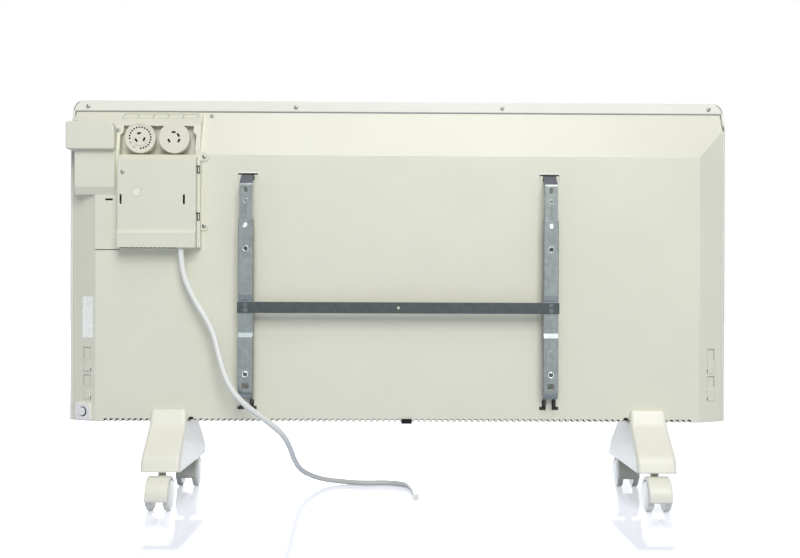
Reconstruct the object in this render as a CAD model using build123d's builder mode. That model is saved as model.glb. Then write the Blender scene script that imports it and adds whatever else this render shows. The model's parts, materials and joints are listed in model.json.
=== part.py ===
from build123d import *
import math
import os

os.makedirs("parts", exist_ok=True)

# Millimetres. +Z is up, the front of the heater faces -Y, and the wall is on its +Y side.
# X = 0 is the middle of the panel, and z = 0 is the floor.

# The panel
panel_width = 900.0
panel_height = 440.0
panel_depth = 80.0
floor_gap = 110.0          # floor to the panel's lower edge
rear_y = 40.0              # rear plane of the panel
sheet = 1.0                # steel of cover and pan
fit_gap = 0.3              # between pieces that only pass close by
hole_gap = 0.1             # radial, round a screw

panel_top = floor_gap + panel_height    # the controls and catches are placed down from here
panel_end = panel_width / 2             # and the controls and feet are placed in from here

# Front cover
hem = 3.0                  # the side edges turned in behind
side_depth = 61.0          # the sides' depth from the front
rim_height = 14.0          # the top edge turned down behind
rim_set_in = 30.0          # the rim lies this far in front of the rear plane
cover_corner = 13.0
cover_bend = 4.0
bottom_return = 14.0
louvre_rows = 4
louvre_length = 82.0
louvre_height = 4.5
louvre_pitch_x = 95.0
louvre_margin = 45.0       # panel end to the outermost louvres, more or less
louvre_columns = round((panel_width - 2 * louvre_margin) / louvre_pitch_x)
louvre_pitch_z = 10.0
louvre_top_margin = 24.0   # panel top to the uppermost louvre

# Back pan
pan_side_gap = 0.5
bevel_width = 35.5         # seen square from behind
bevel_drop = 19.0
slope_height = 62.5
rim_gap = 1.5              # open line under the rim
pan_corner = 14.0
intake_pitch = 8.1
intake_slot = 4.5
intake_margin = 49.0       # panel end to the outermost slot, more or less
intake_count = round((panel_width - 2 * intake_margin) / intake_pitch)
intake_rise = 3.5          # how far the slots climb the rear face
intake_reach = 24.0        # and how far they run forward underneath
foot_slot_width = 6.0
foot_slot_rise = 6.0
lance_width = 12.4         # marks pressed in the bevels
lance_shifts = (6.0, 0.0)  # off the bevel's middle, on the left and on the right
sunk_zs = (165.0, 202.5)
sunk_height = 14.5
sunk_depth = 0.5
strap_zs = (147.5, 185.5)
strap_height = 16.5
strap_stand = 0.8

# Screws
small_screw_radius = 1.5
small_head_radius = 3.0
small_head_height = 1.6
rim_screw_xs = (143.0, panel_end - 20.0)

# Pieces on the bevel at the controls' side, and the clip below
bevel_mark_x = 7.0         # off the bevel's middle, along it
plate_z = 251.0
plate_width = 19.0
plate_height = 56.0
plate_thickness = 0.3
sensor_z = 122.5
sensor_width = 27.0
sensor_height = 23.0
sensor_rise = 3.0
sensor_seat = 2.0
sensor_stand = 1.2
sensor_radius = 5.5
clip_x = -11.5
clip_width = 14.0
clip_rise = 4.0
clip_stand = 2.5
clip_reach = 8.0

# Moulded housing for the controls, let into the pan
proud = 1.5                # the housing's plate stands this far off the pan
plastic = 2.0
housing_right = panel_end - 180.0    # its X limits: right and left as seen from behind
housing_left = panel_end - 5.0
housing_waist = panel_end - 38.0    # left limit of the lower half
housing_foot_z = panel_top - 207.0
waist_z = panel_top - 133.0
housing_head_z = panel_top - 17.0
knee_z = panel_top - 72.0  # where the plate starts to lean in
brow_z = panel_top - 36.0  # and where it leans in further
brow_set_in = 8.0
head_set_in = 28.5
lap = 6.0                  # the plate covers the pan's cut-out by this much
tray_depth = 42.0          # rear plane to the tray's floor
step_right = panel_end - 66.0
step_left = panel_end - 12.0
step_rise = 6.0
ear_radius = 6.0
ear_x = panel_end - 186.0
ear_zs = (panel_top - 175.0, panel_top - 81.0)
tab_top_z = panel_top - 121.0

# Thumb wheels and what they turn
wheel_z = panel_top - 56.0
thermostat_x = panel_end - 99.5
mode_x = panel_end - 145.5
thumb_radius = 21.0
thumb_depth = 9.0
thumb_rear_y = 44.0
thumb_rim_step = 0.8
spindle_radius = 3.0
spindle_gap = 0.05
spindle_room = 0.5         # round the spindle, in the recess floor
recess_floor_y = 24.0
recess_low_z = panel_top - 78.5
recess_mid_z = panel_top - 51.0
recess_top_z = panel_top - 38.0
limit_hole_radius = 1.05
limit_ring_radius = 14.4
limit_pitch = 15.0
limit_count = 19
recess_side = 7.5
recess_notch = 4.0
limit_disc_radius = 10.5
limit_start = 184.0
stored_start = 236.0
pin_head_radius = 1.7
spindle_end_y = 9.0
board_y = 11.4
board_thickness = 1.6
board_width = 92.0
board_height = 38.0
board_mid_z = panel_top - 57.0
peg_radius = 2.5
window_set_in = 24.5
window_pitch = 20.5
window_height = 7.5
window_depth = 1.4
window_count = 5
window_bar = 1.6
key_slot_x = panel_end - 57.5
key_slot_z = panel_top - 139.5
key_slot_width = 10.0

# Corner cap
cap_big_round = 10.0
cap_small_round = 3.0
cap_right = panel_end - 67.0
cap_left = panel_end - 2.0
cap_low_z = panel_top - 73.0
cap_top_z = panel_top - 35.5
cap_rear_y = 54.0

# Junction cover and cord entry
cover_right = panel_end - 177.5
cover_left = panel_end - 72.3
cover_low_z = panel_top - 205.3
cover_top_z = panel_top - 82.0
cover_rise_low = 22.0      # above the rear plane, below the step
cover_rise_high = 18.0     # and above it
cover_step_z = panel_top - 186.0
cord_radius = 4.0
cord_x = panel_end - 156.8
cord_exit_y = 54.0
clamp_low_z = panel_top - 196.0
clamp_height = 8.0
clamp_width = 20.0
opening_right = panel_end - 170.0
opening_left = panel_end - 86.0
opening_low_z = panel_top - 178.0
opening_top_z = panel_top - 89.0
opening_drop = 20.0
cover_screw_x = panel_end - 79.6
cover_screw_z = panel_top - 104.0
cover_boss_radius = 3.8
snap_zs = (panel_top - 163.0, panel_top - 99.5)
snap_height = 11.0
snap_y = 49.0
finger_right = panel_end - 175.0
key_inset = 4.8
cover_key_z = panel_top - 140.5
cover_key_height = 13.0
vent_x = panel_end - 112.0
vent_pitch = 5.9
vent_count = 11
vent_depth = 12.0
terminal_x = panel_end - 125.0
terminal_z = panel_top - 138.0
terminal_width = 50.0
terminal_height = 16.0
terminal_rise = 16.0
terminal_ways = 5
terminal_hole_radius = 2.0

# Heating element
element_half = panel_end - 65.0
element_z = 170.0
element_y = -6.0
element_core = 7.0
element_fin = 26.0
insulator_wall = 5.0
insulator_width = 8.0
bracket_sheet = 2.0
element_tail = 12.0
pin_length = 14.0
fin_thickness = 1.6
baffle_x = -60.0
baffle_y = 28.0
baffle_width = panel_width - 260.0
baffle_sheet = 0.8
baffle_low_z = 215.0
baffle_top_z = panel_top - 125.0
cutout_x = -250.0

# Feet
foot_xs = (panel_end - 140.0, 110.5 - panel_end)
foot_low_z = 50.0
foot_rear = ((103.0, 50.0), (98.0, 69.0), (54.0, 106.5), (45.5, 127.0))
foot_front = ((-34.0, 110.0), (-94.0, 68.0), (-100.0, 50.0))
foot_rounds = (24.0, 20.0)
foot_width_top = 48.0
foot_width_low = 52.0
foot_wall = 3.0
foot_screw_ys = (-14.0, 6.0)
foot_screw_radius = 2.4
foot_screw_reach = 8.0
foot_head_radius = 4.6
foot_head_height = 3.2
foot_head_room = 2.0       # round each screw's head, inside the foot
foot_width_z = 66.0        # the foot is parallel below this height
foot_edge_round = 5.0

# Castors
stem_y = 84.0
trail = 16.0
castor_wheel_radius = 20.0
wheel_width = 9.3
wheel_spacing = 15.0       # between the wheels' inner faces
web_width = 8.0
hood_wall = 3.8
hood_gap = 1.7
hood_half = 15.0
skirt_z = 14.5
axle_radius = 3.0
stem_radius = 4.0
stem_gap = 0.06            # radial, stem to foot
pin_gap = 0.02             # radial, hood to stem and axle
stem_top_z = 70.0
stem_low_z = 39.5
boss_radius = 8.0          # the foot's socket for the stem
neck_radius = 5.5          # the hood's top round the stem
hub_radius = 6.0
axle_cover = 3.5           # the wheel's wall over the axle's end
tread_round = 1.2
dome_rise = 1.2
wheel_edge = 0.5           # rounding at each side of the tread

# Wall bracket
rail_x = panel_end - 245.0
rail_width = 20.0
rail_depth = 22.0
rail_sheet = 1.2
rail_gap = 0.5             # rail to panel
rail_low_z = 142.5
rail_flange = 11.0         # depth of the channel; the rail stands clear of the panel
rail_top_z = panel_top - 167.0
joggle_depth = 3.0
joggle_zs = (225.0, 231.0, 274.0, 282.0)
bar_height = 15.0
bar_z = 265.0
bar_thickness = 2.7
bar_half = rail_x + 11.0
wall_hole_radius = 3.25
wall_hole_zs = (175.5, panel_top - 206.0)
hinge_z = 136.9
hook_height = 5.0
hook_plate = 2.0
hook_offset = 6.6          # each hook from the rail's centre line
hook_reach = 6.3           # inside the panel
boot_width = 5.0
boot_low_z = 126.6
boot_top_z = 140.0
latch_z = panel_top - 106.4    # the upper tongue
latch_low_z = panel_top - 188.0
latch_bend_z = panel_top - 119.0
latch_bend_radius = 4.0
latch_side_gap = 0.3
latch_tongue_y = 33.0
upper_slot_zs = (panel_top - 112.0, panel_top - 102.5)
upper_slot_width = 26.0
square_hole_z = 160.0
square_hole = (9.5, 7.5)
groove_z = 193.0
groove_length = 30.0
groove_width = 8.0
groove_depth = 0.5
dimple_z = panel_top - 174.0
rivet_radius = 2.0
rivet_head_radius = 3.2
rivet_offset = 3.6         # above and below the bar's middle
latch_window_z = panel_top - 127.0
latch_mark_z = panel_top - 142.0

# Mains cord: the corners of its route, from the clamp to its bare end on the floor
cord_route = (
    (293.2, 54.0, 354.0), (293.2, 54.0, 318.0), (277.0, 56.0, 279.0), (248.5, 61.0, 236.0),
    (239.0, 68.0, 200.0), (226.0, 76.5, 163.0), (206.0, 75.5, 137.0), (176.0, 57.0, 113.0),
    (156.0, 39.0, 92.0), (149.5, 10.0, 71.0), (147.5, -34.0, 46.0), (141.0, -76.0, 25.0),
    (116.0, -107.0, 9.0), (86.0, -116.0, 4.0), (50.0, -100.0, 4.0), (16.0, -108.0, 4.0),
    (-14.0, -88.0, 4.0), (-21.0, -50.0, 4.0), (-24.5, -14.0, 4.0), (-25.5, 20.0, 4.0),
)

# Worked out from the sizes above
front_y = rear_y - panel_depth
side_y = front_y + side_depth
rim_y = rear_y - rim_set_in
flange_y = rim_y - sheet
slope_top_z = panel_top - rim_height - rim_gap
slope_foot_z = slope_top_z - slope_height
pan_half = panel_end - hem - pan_side_gap
pan_front_y = front_y + bottom_return + fit_gap
pan_top_z = panel_top - 3 * sheet
rim_screw_z = panel_top - rim_height / 2 - 1
plate_y = rear_y + proud
tray_y = rear_y - tray_depth
wall_y = rear_y + rail_gap + rail_depth
web_y = wall_y - joggle_depth


def save(piece, node):
    piece.part.label = node
    export_step(piece.part, f"parts/{node}.step")


def plan_face(grow, front):
    """Face in plan: straight sides and a bevel at each rear corner, grown all round."""
    with BuildSketch() as plan:
        with BuildLine():
            Polyline(
                (-pan_half, front), (pan_half, front), (pan_half, rear_y - bevel_drop),
                (pan_half - bevel_width, rear_y), (bevel_width - pan_half, rear_y),
                (-pan_half, rear_y - bevel_drop), close=True,
            )
        make_face()
        if grow:
            offset(amount=grow, kind=Kind.INTERSECTION)
    return plan.sketch


def pan_form(inset, front, top):
    """The pan's form as a block: bevelled sides, sloped top and an upright flange."""
    with BuildPart() as form:
        with BuildSketch(Plane.YZ):
            with BuildLine():
                Polyline(
                    (front, floor_gap), (rear_y, floor_gap), (rear_y, slope_foot_z),
                    (flange_y, slope_top_z), (flange_y, top), (front, top), close=True,
                )
            make_face()
            if inset:
                offset(amount=-inset, kind=Kind.INTERSECTION)
        extrude(amount=panel_end, both=True)
        with BuildSketch(Plane.XY.offset(floor_gap - 1)):
            add(plan_face(-inset, front))
        extrude(amount=panel_height, mode=Mode.INTERSECT)
    return form.part


def cover_form(inset):
    """The front cover's form as a block, rounded at its top corners and front edges."""
    with BuildPart() as form:
        with BuildSketch(Plane.XZ.offset(-side_y)):
            with Locations((0, floor_gap + panel_height / 2)):
                Rectangle(panel_width - 2 * inset, panel_height - 2 * inset)
            fillet(vertices().group_by(Axis.Y)[-1], cover_corner - inset)
        extrude(amount=side_depth - inset)
        fillet(faces().sort_by(Axis.Y)[0].edges(), cover_bend - inset)
        with BuildSketch(Plane.YZ):
            with BuildLine():
                Polyline(
                    (front_y, floor_gap), (side_y, floor_gap),
                    (side_y, slope_top_z + rim_gap - 2 * (side_y - rim_y)),
                    (rim_y - inset, panel_top - rim_height), (rim_y - inset, panel_top),
                    (front_y, panel_top), close=True,
                )
            make_face()
        extrude(amount=panel_end, both=True, mode=Mode.INTERSECT)
    return form.part


def make_front_cover():
    outer = cover_form(0)
    inner = cover_form(sheet)
    with BuildPart() as front_cover:
        add(outer)
        add(inner, mode=Mode.SUBTRACT)
        # open at the back, inside the hem and below the rim
        with BuildSketch(Plane.XZ.offset(-side_y - 1)):
            with Locations((0, floor_gap + (panel_height - rim_height) / 2)):
                Rectangle(2 * (panel_end - hem), panel_height - rim_height)
        extrude(amount=side_y + 1 - rim_y + 2 * sheet, mode=Mode.SUBTRACT)
        # open underneath, behind the bottom return
        with BuildSketch(Plane.XY.offset(floor_gap - 1)):
            with Locations((0, front_y + bottom_return + panel_depth / 2)):
                Rectangle(2 * (panel_end - hem), panel_depth)
        extrude(amount=2 + sheet, mode=Mode.SUBTRACT)
        # air outlet
        louvre_z = panel_top - louvre_top_margin - (louvre_rows - 1) * louvre_pitch_z / 2
        with BuildSketch(Plane.XZ.offset(-front_y - 2 * sheet)):
            with Locations((0, louvre_z)):
                with GridLocations(louvre_pitch_x, louvre_pitch_z, louvre_columns, louvre_rows):
                    SlotOverall(louvre_length, louvre_height)
        extrude(amount=4 * sheet, mode=Mode.SUBTRACT)
        with BuildSketch(Plane.XZ.offset(-rim_y - 1)):
            with Locations(*[(side * x, rim_screw_z) for x in rim_screw_xs for side in (-1, 1)]):
                Circle(small_screw_radius + hole_gap)
        extrude(amount=2 + sheet, mode=Mode.SUBTRACT)
    save(front_cover, "front_cover")


def housing_face(inset):
    """The control housing's outline seen from behind, drawn in by inset."""
    with BuildSketch() as outline:
        with BuildLine():
            Polyline(
                (housing_right, housing_foot_z), (housing_waist, housing_foot_z),
                (housing_waist, waist_z), (housing_left, waist_z),
                (housing_left, housing_head_z), (housing_right, housing_head_z), close=True,
            )
        make_face()
        if inset:
            offset(amount=-inset, kind=Kind.INTERSECTION)
    return outline.sketch


def boot_slots():
    """Slots in the pan for the bracket's lower hooks, each with a toe that points outwards."""
    boot_z = (boot_low_z + boot_top_z) / 2
    toe_height = 4.4
    toe = 3.3
    with BuildSketch() as slots:
        for rail in (-rail_x, rail_x):
            for side in (-1, 1):
                with Locations((rail + side * hook_offset, boot_z)):
                    Rectangle(boot_width, boot_top_z - boot_low_z)
                toe_x = rail + side * (hook_offset + (boot_width + toe) / 2)
                with Locations((toe_x, boot_low_z + toe_height / 2)):
                    Rectangle(toe + 1, toe_height)
    return slots.sketch


def make_back_panel():
    outer = pan_form(0, pan_front_y, pan_top_z)
    inner = pan_form(sheet, pan_front_y - 2 * sheet, pan_top_z + 2 * sheet)
    with BuildPart() as back_panel:
        add(outer)
        add(inner, mode=Mode.SUBTRACT)
        fillet(edges().filter_by(Axis.X).filter_by_position(Axis.Z, floor_gap - 1, floor_gap + 0.1)
               .filter_by_position(Axis.Y, rear_y - 0.1, rear_y + 0.1), 0.9 * sheet)
        # round the top corners to lie inside the cover's
        with BuildSketch(Plane.XZ.offset(-rear_y - 1)):
            with Locations((0, (floor_gap + pan_top_z) / 2)):
                Rectangle(2 * pan_half, pan_top_z - floor_gap)
            fillet(vertices().group_by(Axis.Y)[-1], pan_corner)
        extrude(amount=panel_depth + 2, mode=Mode.INTERSECT)
        # air intake, round the lower bend
        with Locations((0, rear_y, floor_gap)):
            with GridLocations(intake_pitch, 1, intake_count, 1):
                Box(intake_slot, 2 * intake_reach, 2 * intake_rise, mode=Mode.SUBTRACT)
        slot_set_out = (foot_width_low + foot_slot_width) / 2
        with Locations(*[(x - math.copysign(slot_set_out, x), rear_y, floor_gap) for x in foot_xs]):
            Box(foot_slot_width, 2 * intake_reach, 2 * foot_slot_rise, mode=Mode.SUBTRACT)
        # slots for the bracket
        with BuildSketch(Plane.XZ.offset(-rear_y - 1)):
            add(boot_slots())
            with Locations(*[(x, sum(upper_slot_zs) / 2) for x in (-rail_x, rail_x)]):
                Rectangle(upper_slot_width, upper_slot_zs[1] - upper_slot_zs[0])
        extrude(amount=2 + sheet, mode=Mode.SUBTRACT)
        # cut-out for the control housing
        with BuildSketch(Plane.XZ.offset(-rear_y - 1)):
            add(housing_face(lap))
        extrude(amount=rear_y - flange_y + 2, mode=Mode.SUBTRACT)
        # screw holes
        with BuildSketch(Plane.XZ.offset(-rear_y - 1)):
            with Locations(*[(ear_x, z) for z in ear_zs]):
                Circle(small_screw_radius + hole_gap)
        extrude(amount=2 + sheet, mode=Mode.SUBTRACT)
        with BuildSketch(Plane.XZ.offset(-rim_y)):
            with Locations(*[(side * x, rim_screw_z) for x in rim_screw_xs for side in (-1, 1)]):
                Circle(small_screw_radius + hole_gap)
        extrude(amount=3 * sheet, mode=Mode.SUBTRACT)
        with BuildSketch(Plane.XY.offset(floor_gap - 1)):
            with Locations(*[(x, y) for x in foot_xs for y in foot_screw_ys]):
                Circle(foot_screw_radius + hole_gap)
        extrude(amount=2 + sheet, mode=Mode.SUBTRACT)
        # marks pressed in the bevels
        for side, shift in zip((1, -1), lance_shifts):
            for z in strap_zs:
                with BuildSketch(bevel_plane(side, z)):
                    with Locations((shift, 0)):
                        Rectangle(lance_width, strap_height)
                extrude(amount=strap_stand)
            for z in sunk_zs:
                with BuildSketch(bevel_plane(side, z)):
                    with Locations((shift, 0)):
                        Rectangle(lance_width, sunk_height)
                extrude(amount=-sunk_depth, mode=Mode.SUBTRACT)
    save(back_panel, "back_panel")


def make_rim_screws():
    with BuildPart() as rim_screws:
        for x in rim_screw_xs:
            for side in (-1, 1):
                with BuildSketch(Plane.XZ.offset(-rim_y - small_head_height)):
                    with Locations((side * x, rim_screw_z)):
                        Circle(small_head_radius)
                extrude(amount=small_head_height)
                with BuildSketch(Plane.XZ.offset(-rim_y)):
                    with Locations((side * x, rim_screw_z)):
                        Circle(small_screw_radius)
                extrude(amount=4 * sheet)
    save(rim_screws, "rim_screws")


def bevel_plane(side, z):
    """Plane on the middle of a rear bevel: x runs to the right seen from behind, y is up."""
    return Plane(
        origin=(side * (pan_half - bevel_width / 2), rear_y - bevel_drop / 2, z),
        x_dir=(-bevel_width, side * bevel_drop, 0), z_dir=(side * bevel_drop, bevel_width, 0),
    )


def make_bevel_pieces():
    outward = Axis((0, 0, 0), (bevel_drop, bevel_width, 0))
    with BuildPart() as rating_plate:
        with BuildSketch(bevel_plane(1, plate_z)):
            with Locations((bevel_mark_x, 0)):
                RectangleRounded(plate_width, plate_height, 1.5)
        extrude(amount=plate_thickness)
    save(rating_plate, "rating_plate")

    with BuildPart() as room_sensor_holder:
        with BuildSketch(bevel_plane(1, sensor_z)):
            RectangleRounded(sensor_width, sensor_height, 2.5)
        extrude(amount=sensor_rise)
        fillet(faces().sort_by(outward)[-1].edges(), 0.8)
        with BuildSketch(bevel_plane(1, sensor_z).offset(sensor_rise - sensor_seat)):
            Circle(sensor_radius + hole_gap)
        extrude(amount=2 * sensor_seat, mode=Mode.SUBTRACT)
    save(room_sensor_holder, "room_sensor_holder")

    with BuildPart() as room_sensor:
        with BuildSketch(bevel_plane(1, sensor_z).offset(sensor_rise - sensor_seat)):
            Circle(sensor_radius)
        extrude(amount=sensor_seat + sensor_stand)
        fillet(edges().filter_by(GeomType.CIRCLE).sort_by(outward)[-1], 0.6)
    save(room_sensor, "room_sensor")


def make_centre_clip():
    """Small clip pushed over the pan's lower bend."""
    with BuildPart() as centre_clip:
        with BuildSketch(Plane.YZ.offset(clip_x - clip_width / 2)):
            with BuildLine():
                Polyline(
                    (rear_y, floor_gap), (rear_y, floor_gap + clip_rise),
                    (rear_y + clip_stand, floor_gap + clip_rise),
                    (rear_y + clip_stand, floor_gap - clip_stand),
                    (rear_y - clip_reach, floor_gap - clip_stand), (rear_y - clip_reach, floor_gap),
                    close=True,
                )
            make_face()
        extrude(amount=clip_width)
        fillet(edges().filter_by(Axis.X).sort_by(Axis.Y)[-1], 1.5)
    save(centre_clip, "centre_clip")


def housing_form(inset, front):
    """The control housing's form as a block, before it is cut to its outline."""
    low_z = housing_foot_z - 2 * lap
    high_z = housing_head_z + 2 * lap
    with BuildPart() as form:
        with BuildSketch(Plane.YZ):
            with BuildLine():
                Polyline(
                    (front, low_z), (plate_y, low_z), (plate_y, knee_z),
                    (rear_y - brow_set_in, brow_z), (rear_y - head_set_in, housing_head_z),
                    (rear_y - head_set_in, high_z), (front, high_z), close=True,
                )
            make_face()
            if inset:
                offset(amount=-inset, kind=Kind.INTERSECTION)
        extrude(amount=panel_end, both=True)
        with BuildSketch(Plane.XY.offset(low_z - 1)):
            add(plan_face(proud - inset, front - 2 * plastic))
        extrude(amount=high_z - low_z + 2, mode=Mode.INTERSECT)
    return form.part


def recess_face(grow):
    """The wheel recess seen from behind: a little narrower above the wheels' middle."""
    left = thermostat_x + thumb_radius + recess_side
    right = mode_x - thumb_radius - recess_side
    with BuildSketch() as face:
        with BuildLine():
            Polyline(
                (right, recess_low_z), (left, recess_low_z), (left, recess_mid_z),
                (left - recess_notch, recess_mid_z + recess_notch), (left - recess_notch, recess_top_z),
                (right + recess_notch, recess_top_z), (right + recess_notch, recess_mid_z + recess_notch),
                (right, recess_mid_z), close=True,
            )
        make_face()
        if grow:
            offset(amount=grow, kind=Kind.INTERSECTION)
    return face.sketch


def pan_round_tray():
    """What the housing has to clear: the pan's form, with room for the tray let into it."""
    with BuildPart() as form:
        add(pan_form(0, tray_y - 1, housing_head_z + 2 * lap))
        with BuildSketch(Plane.XZ.offset(-rear_y - 1)):
            add(housing_face(lap + fit_gap))
        extrude(amount=rear_y - tray_y + 3, mode=Mode.SUBTRACT)
    return form.part


def tray_cavity():
    """The room inside the housing, in front of its plate and round the wheel recess."""
    with BuildPart() as cavity:
        add(housing_form(plastic, tray_y))
        with BuildSketch(Plane.XZ.offset(-plate_y)):
            add(housing_face(lap + fit_gap + plastic))
        extrude(amount=plate_y - tray_y, mode=Mode.INTERSECT)
        with BuildSketch(Plane.XZ.offset(-plate_y)):
            add(recess_face(plastic))
        extrude(amount=plate_y - recess_floor_y + plastic, mode=Mode.SUBTRACT)
    return cavity.part


def make_control_housing():
    blank = housing_form(0, tray_y)
    pan_blank = pan_round_tray()
    cavity = tray_cavity()
    brow_angle = math.atan2(housing_head_z - brow_z, head_set_in - brow_set_in)
    brow_mid = Plane(
        origin=((thermostat_x + mode_x) / 2, rear_y - window_set_in,
                brow_z + (window_set_in - brow_set_in) * math.tan(brow_angle)),
        x_dir=(-1, 0, 0), z_dir=(0, math.sin(brow_angle), math.cos(brow_angle)),
    )
    with BuildPart() as control_housing:
        add(blank)
        # raised step under the corner cap, leaning back to the plate at its foot
        with BuildSketch(Plane.YZ.offset(step_right)):
            with BuildLine():
                Polyline(
                    (tray_y, waist_z), (plate_y, waist_z), (rear_y + step_rise, waist_z + 10),
                    (rear_y + step_rise, cap_low_z + 2), (tray_y, cap_low_z + 2), close=True,
                )
            make_face()
        extrude(amount=step_left - step_right)
        # outline, with a tab and two screw ears
        with BuildSketch(Plane.XZ.offset(-cap_rear_y)):
            add(housing_face(0))
            fillet(vertices().sort_by_distance((housing_waist, waist_z))[0], 8)
            with Locations((ear_x + ear_radius, ear_zs[0])):
                Rectangle(2 * ear_radius, tab_top_z - ear_zs[0], align=(Align.CENTER, Align.MIN))
            for z in ear_zs:
                with Locations((ear_x, z)):
                    Circle(ear_radius)
                with Locations((ear_x + ear_radius, z)):
                    Rectangle(2 * ear_radius, 2 * ear_radius)
        extrude(amount=cap_rear_y - tray_y, mode=Mode.INTERSECT)
        add(pan_blank, mode=Mode.SUBTRACT)
        add(cavity, mode=Mode.SUBTRACT)
        with BuildSketch(Plane.XZ.offset(-cap_rear_y)):
            add(recess_face(0))
        extrude(amount=cap_rear_y - recess_floor_y, mode=Mode.SUBTRACT)
        with BuildSketch(Plane.XZ.offset(-recess_floor_y - 1)):
            with Locations((thermostat_x, wheel_z), (mode_x, wheel_z)):
                Circle(spindle_radius + spindle_room)
        extrude(amount=plastic + 2, mode=Mode.SUBTRACT)
        # shallow windows on the brow, above the wheels
        with BuildSketch(brow_mid):
            with GridLocations(window_pitch, 1, window_count, 1):
                Rectangle(window_pitch - window_bar, window_height)
        extrude(amount=-window_depth, mode=Mode.SUBTRACT)
        # opening into the tray behind the junction cover
        with BuildSketch(Plane.XZ.offset(-plate_y - 1)):
            with Locations(((opening_right + opening_left) / 2, (opening_low_z + opening_top_z) / 2)):
                Rectangle(opening_left - opening_right, opening_top_z - opening_low_z)
            with Locations((cord_x + clamp_width, opening_low_z)):
                Rectangle(opening_left - cord_x - clamp_width, opening_drop, align=(Align.MIN, Align.MAX))
        extrude(amount=plastic + proud + 2, mode=Mode.SUBTRACT)
        # narrow key slot below the step
        with BuildSketch(Plane.XZ.offset(-plate_y - 1)):
            with Locations((key_slot_x, key_slot_z)):
                Rectangle(key_slot_width, 2.6)
        extrude(amount=plastic + proud + 2, mode=Mode.SUBTRACT)
        with BuildSketch(Plane.XZ.offset(-plate_y - 1)):
            with Locations(*[(ear_x, z) for z in ear_zs]):
                Circle(small_screw_radius + hole_gap)
        extrude(amount=proud + 2, mode=Mode.SUBTRACT)
        # boss for the cover's screw, and two latch fingers at its other side
        with BuildSketch(Plane.XZ.offset(-plate_y)):
            with Locations((cover_screw_x, cover_screw_z)):
                Circle(cover_boss_radius)
                Circle(small_screw_radius, mode=Mode.SUBTRACT)
        extrude(amount=-(rear_y + cover_rise_high - plastic - fit_gap - plate_y))
        for z in snap_zs:
            with BuildSketch(Plane.XY.offset(z - snap_height / 2)):
                with BuildLine():
                    Polyline(
                        (finger_right, plate_y), (finger_right, snap_y), (cover_right + 0.6, snap_y),
                        (finger_right, snap_y + 5), (finger_right + plastic, snap_y + 5),
                        (finger_right + plastic, plate_y), close=True,
                    )
                make_face()
            extrude(amount=snap_height)
        # pegs that carry the control board
        with BuildSketch(Plane.XZ.offset(-tray_y - plastic)):
            with Locations(*board_corners()):
                Circle(peg_radius)
        extrude(amount=-(board_y - tray_y - plastic))
    save(control_housing, "control_housing")
    return control_housing.part


def board_corners():
    """Centres of the four pegs under the control board."""
    mid_x = (thermostat_x + mode_x) / 2
    return [
        (mid_x + side * (board_width / 2 - 2 * peg_radius),
         board_mid_z + rise * (board_height / 2 - 2 * peg_radius))
        for side in (-1, 1) for rise in (-1, 1)
    ]


def make_control_cap(housing):
    """Raised moulded cap in the corner; its skirt follows the surfaces it stands on."""
    skirt_y = side_y + fit_gap
    mid = ((cap_right + cap_left) / 2, (cap_low_z + cap_top_z) / 2)
    with BuildPart() as control_cap:
        with BuildSketch(Plane.XZ.offset(-skirt_y)):
            with Locations(mid):
                Rectangle(cap_left - cap_right, cap_top_z - cap_low_z)
            fillet(vertices().group_by(Axis.Y)[-1].sort_by(Axis.X)[0], cap_big_round)
            fillet(vertices().group_by(Axis.Y)[-1].sort_by(Axis.X)[-1], cap_small_round)
            fillet(vertices().group_by(Axis.Y)[0], cap_small_round)
        extrude(amount=-(cap_rear_y - skirt_y))
        fillet(faces().sort_by(Axis.Y)[-1].edges(), 2)
        with BuildSketch(Plane.XZ.offset(-skirt_y)):
            with Locations(mid):
                Rectangle(cap_left - cap_right - 2 * plastic, cap_top_z - cap_low_z - 2 * plastic)
        extrude(amount=-(cap_rear_y - skirt_y - plastic), mode=Mode.SUBTRACT)
        add(housing, mode=Mode.SUBTRACT)
        add(pan_form(0, tray_y, pan_top_z), mode=Mode.SUBTRACT)
        add(cap_seat(), mode=Mode.SUBTRACT)
    save(control_cap, "control_cap")


def cap_seat():
    """The housing's form under the cap, without its openings."""
    with BuildPart() as seat:
        add(housing_form(0, tray_y))
        with BuildSketch(Plane.XZ.offset(-cap_rear_y)):
            add(housing_face(0))
        extrude(amount=cap_rear_y - tray_y, mode=Mode.INTERSECT)
    return seat.part


def cover_outline(inset):
    """The junction cover's side view, drawn in by inset."""
    low, high = rear_y + cover_rise_low, rear_y + cover_rise_high
    base_y = plate_y - 2 * inset
    with BuildSketch() as outline:
        with BuildLine():
            Polyline(
                (base_y, cover_low_z), (low, cover_low_z), (low, cover_step_z),
                (high, cover_step_z + 5), (high, cover_top_z - 5), (high - 6, cover_top_z),
                (base_y, cover_top_z), close=True,
            )
        make_face()
        if inset:
            offset(amount=-inset, kind=Kind.INTERSECTION)
    return outline.sketch


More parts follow.
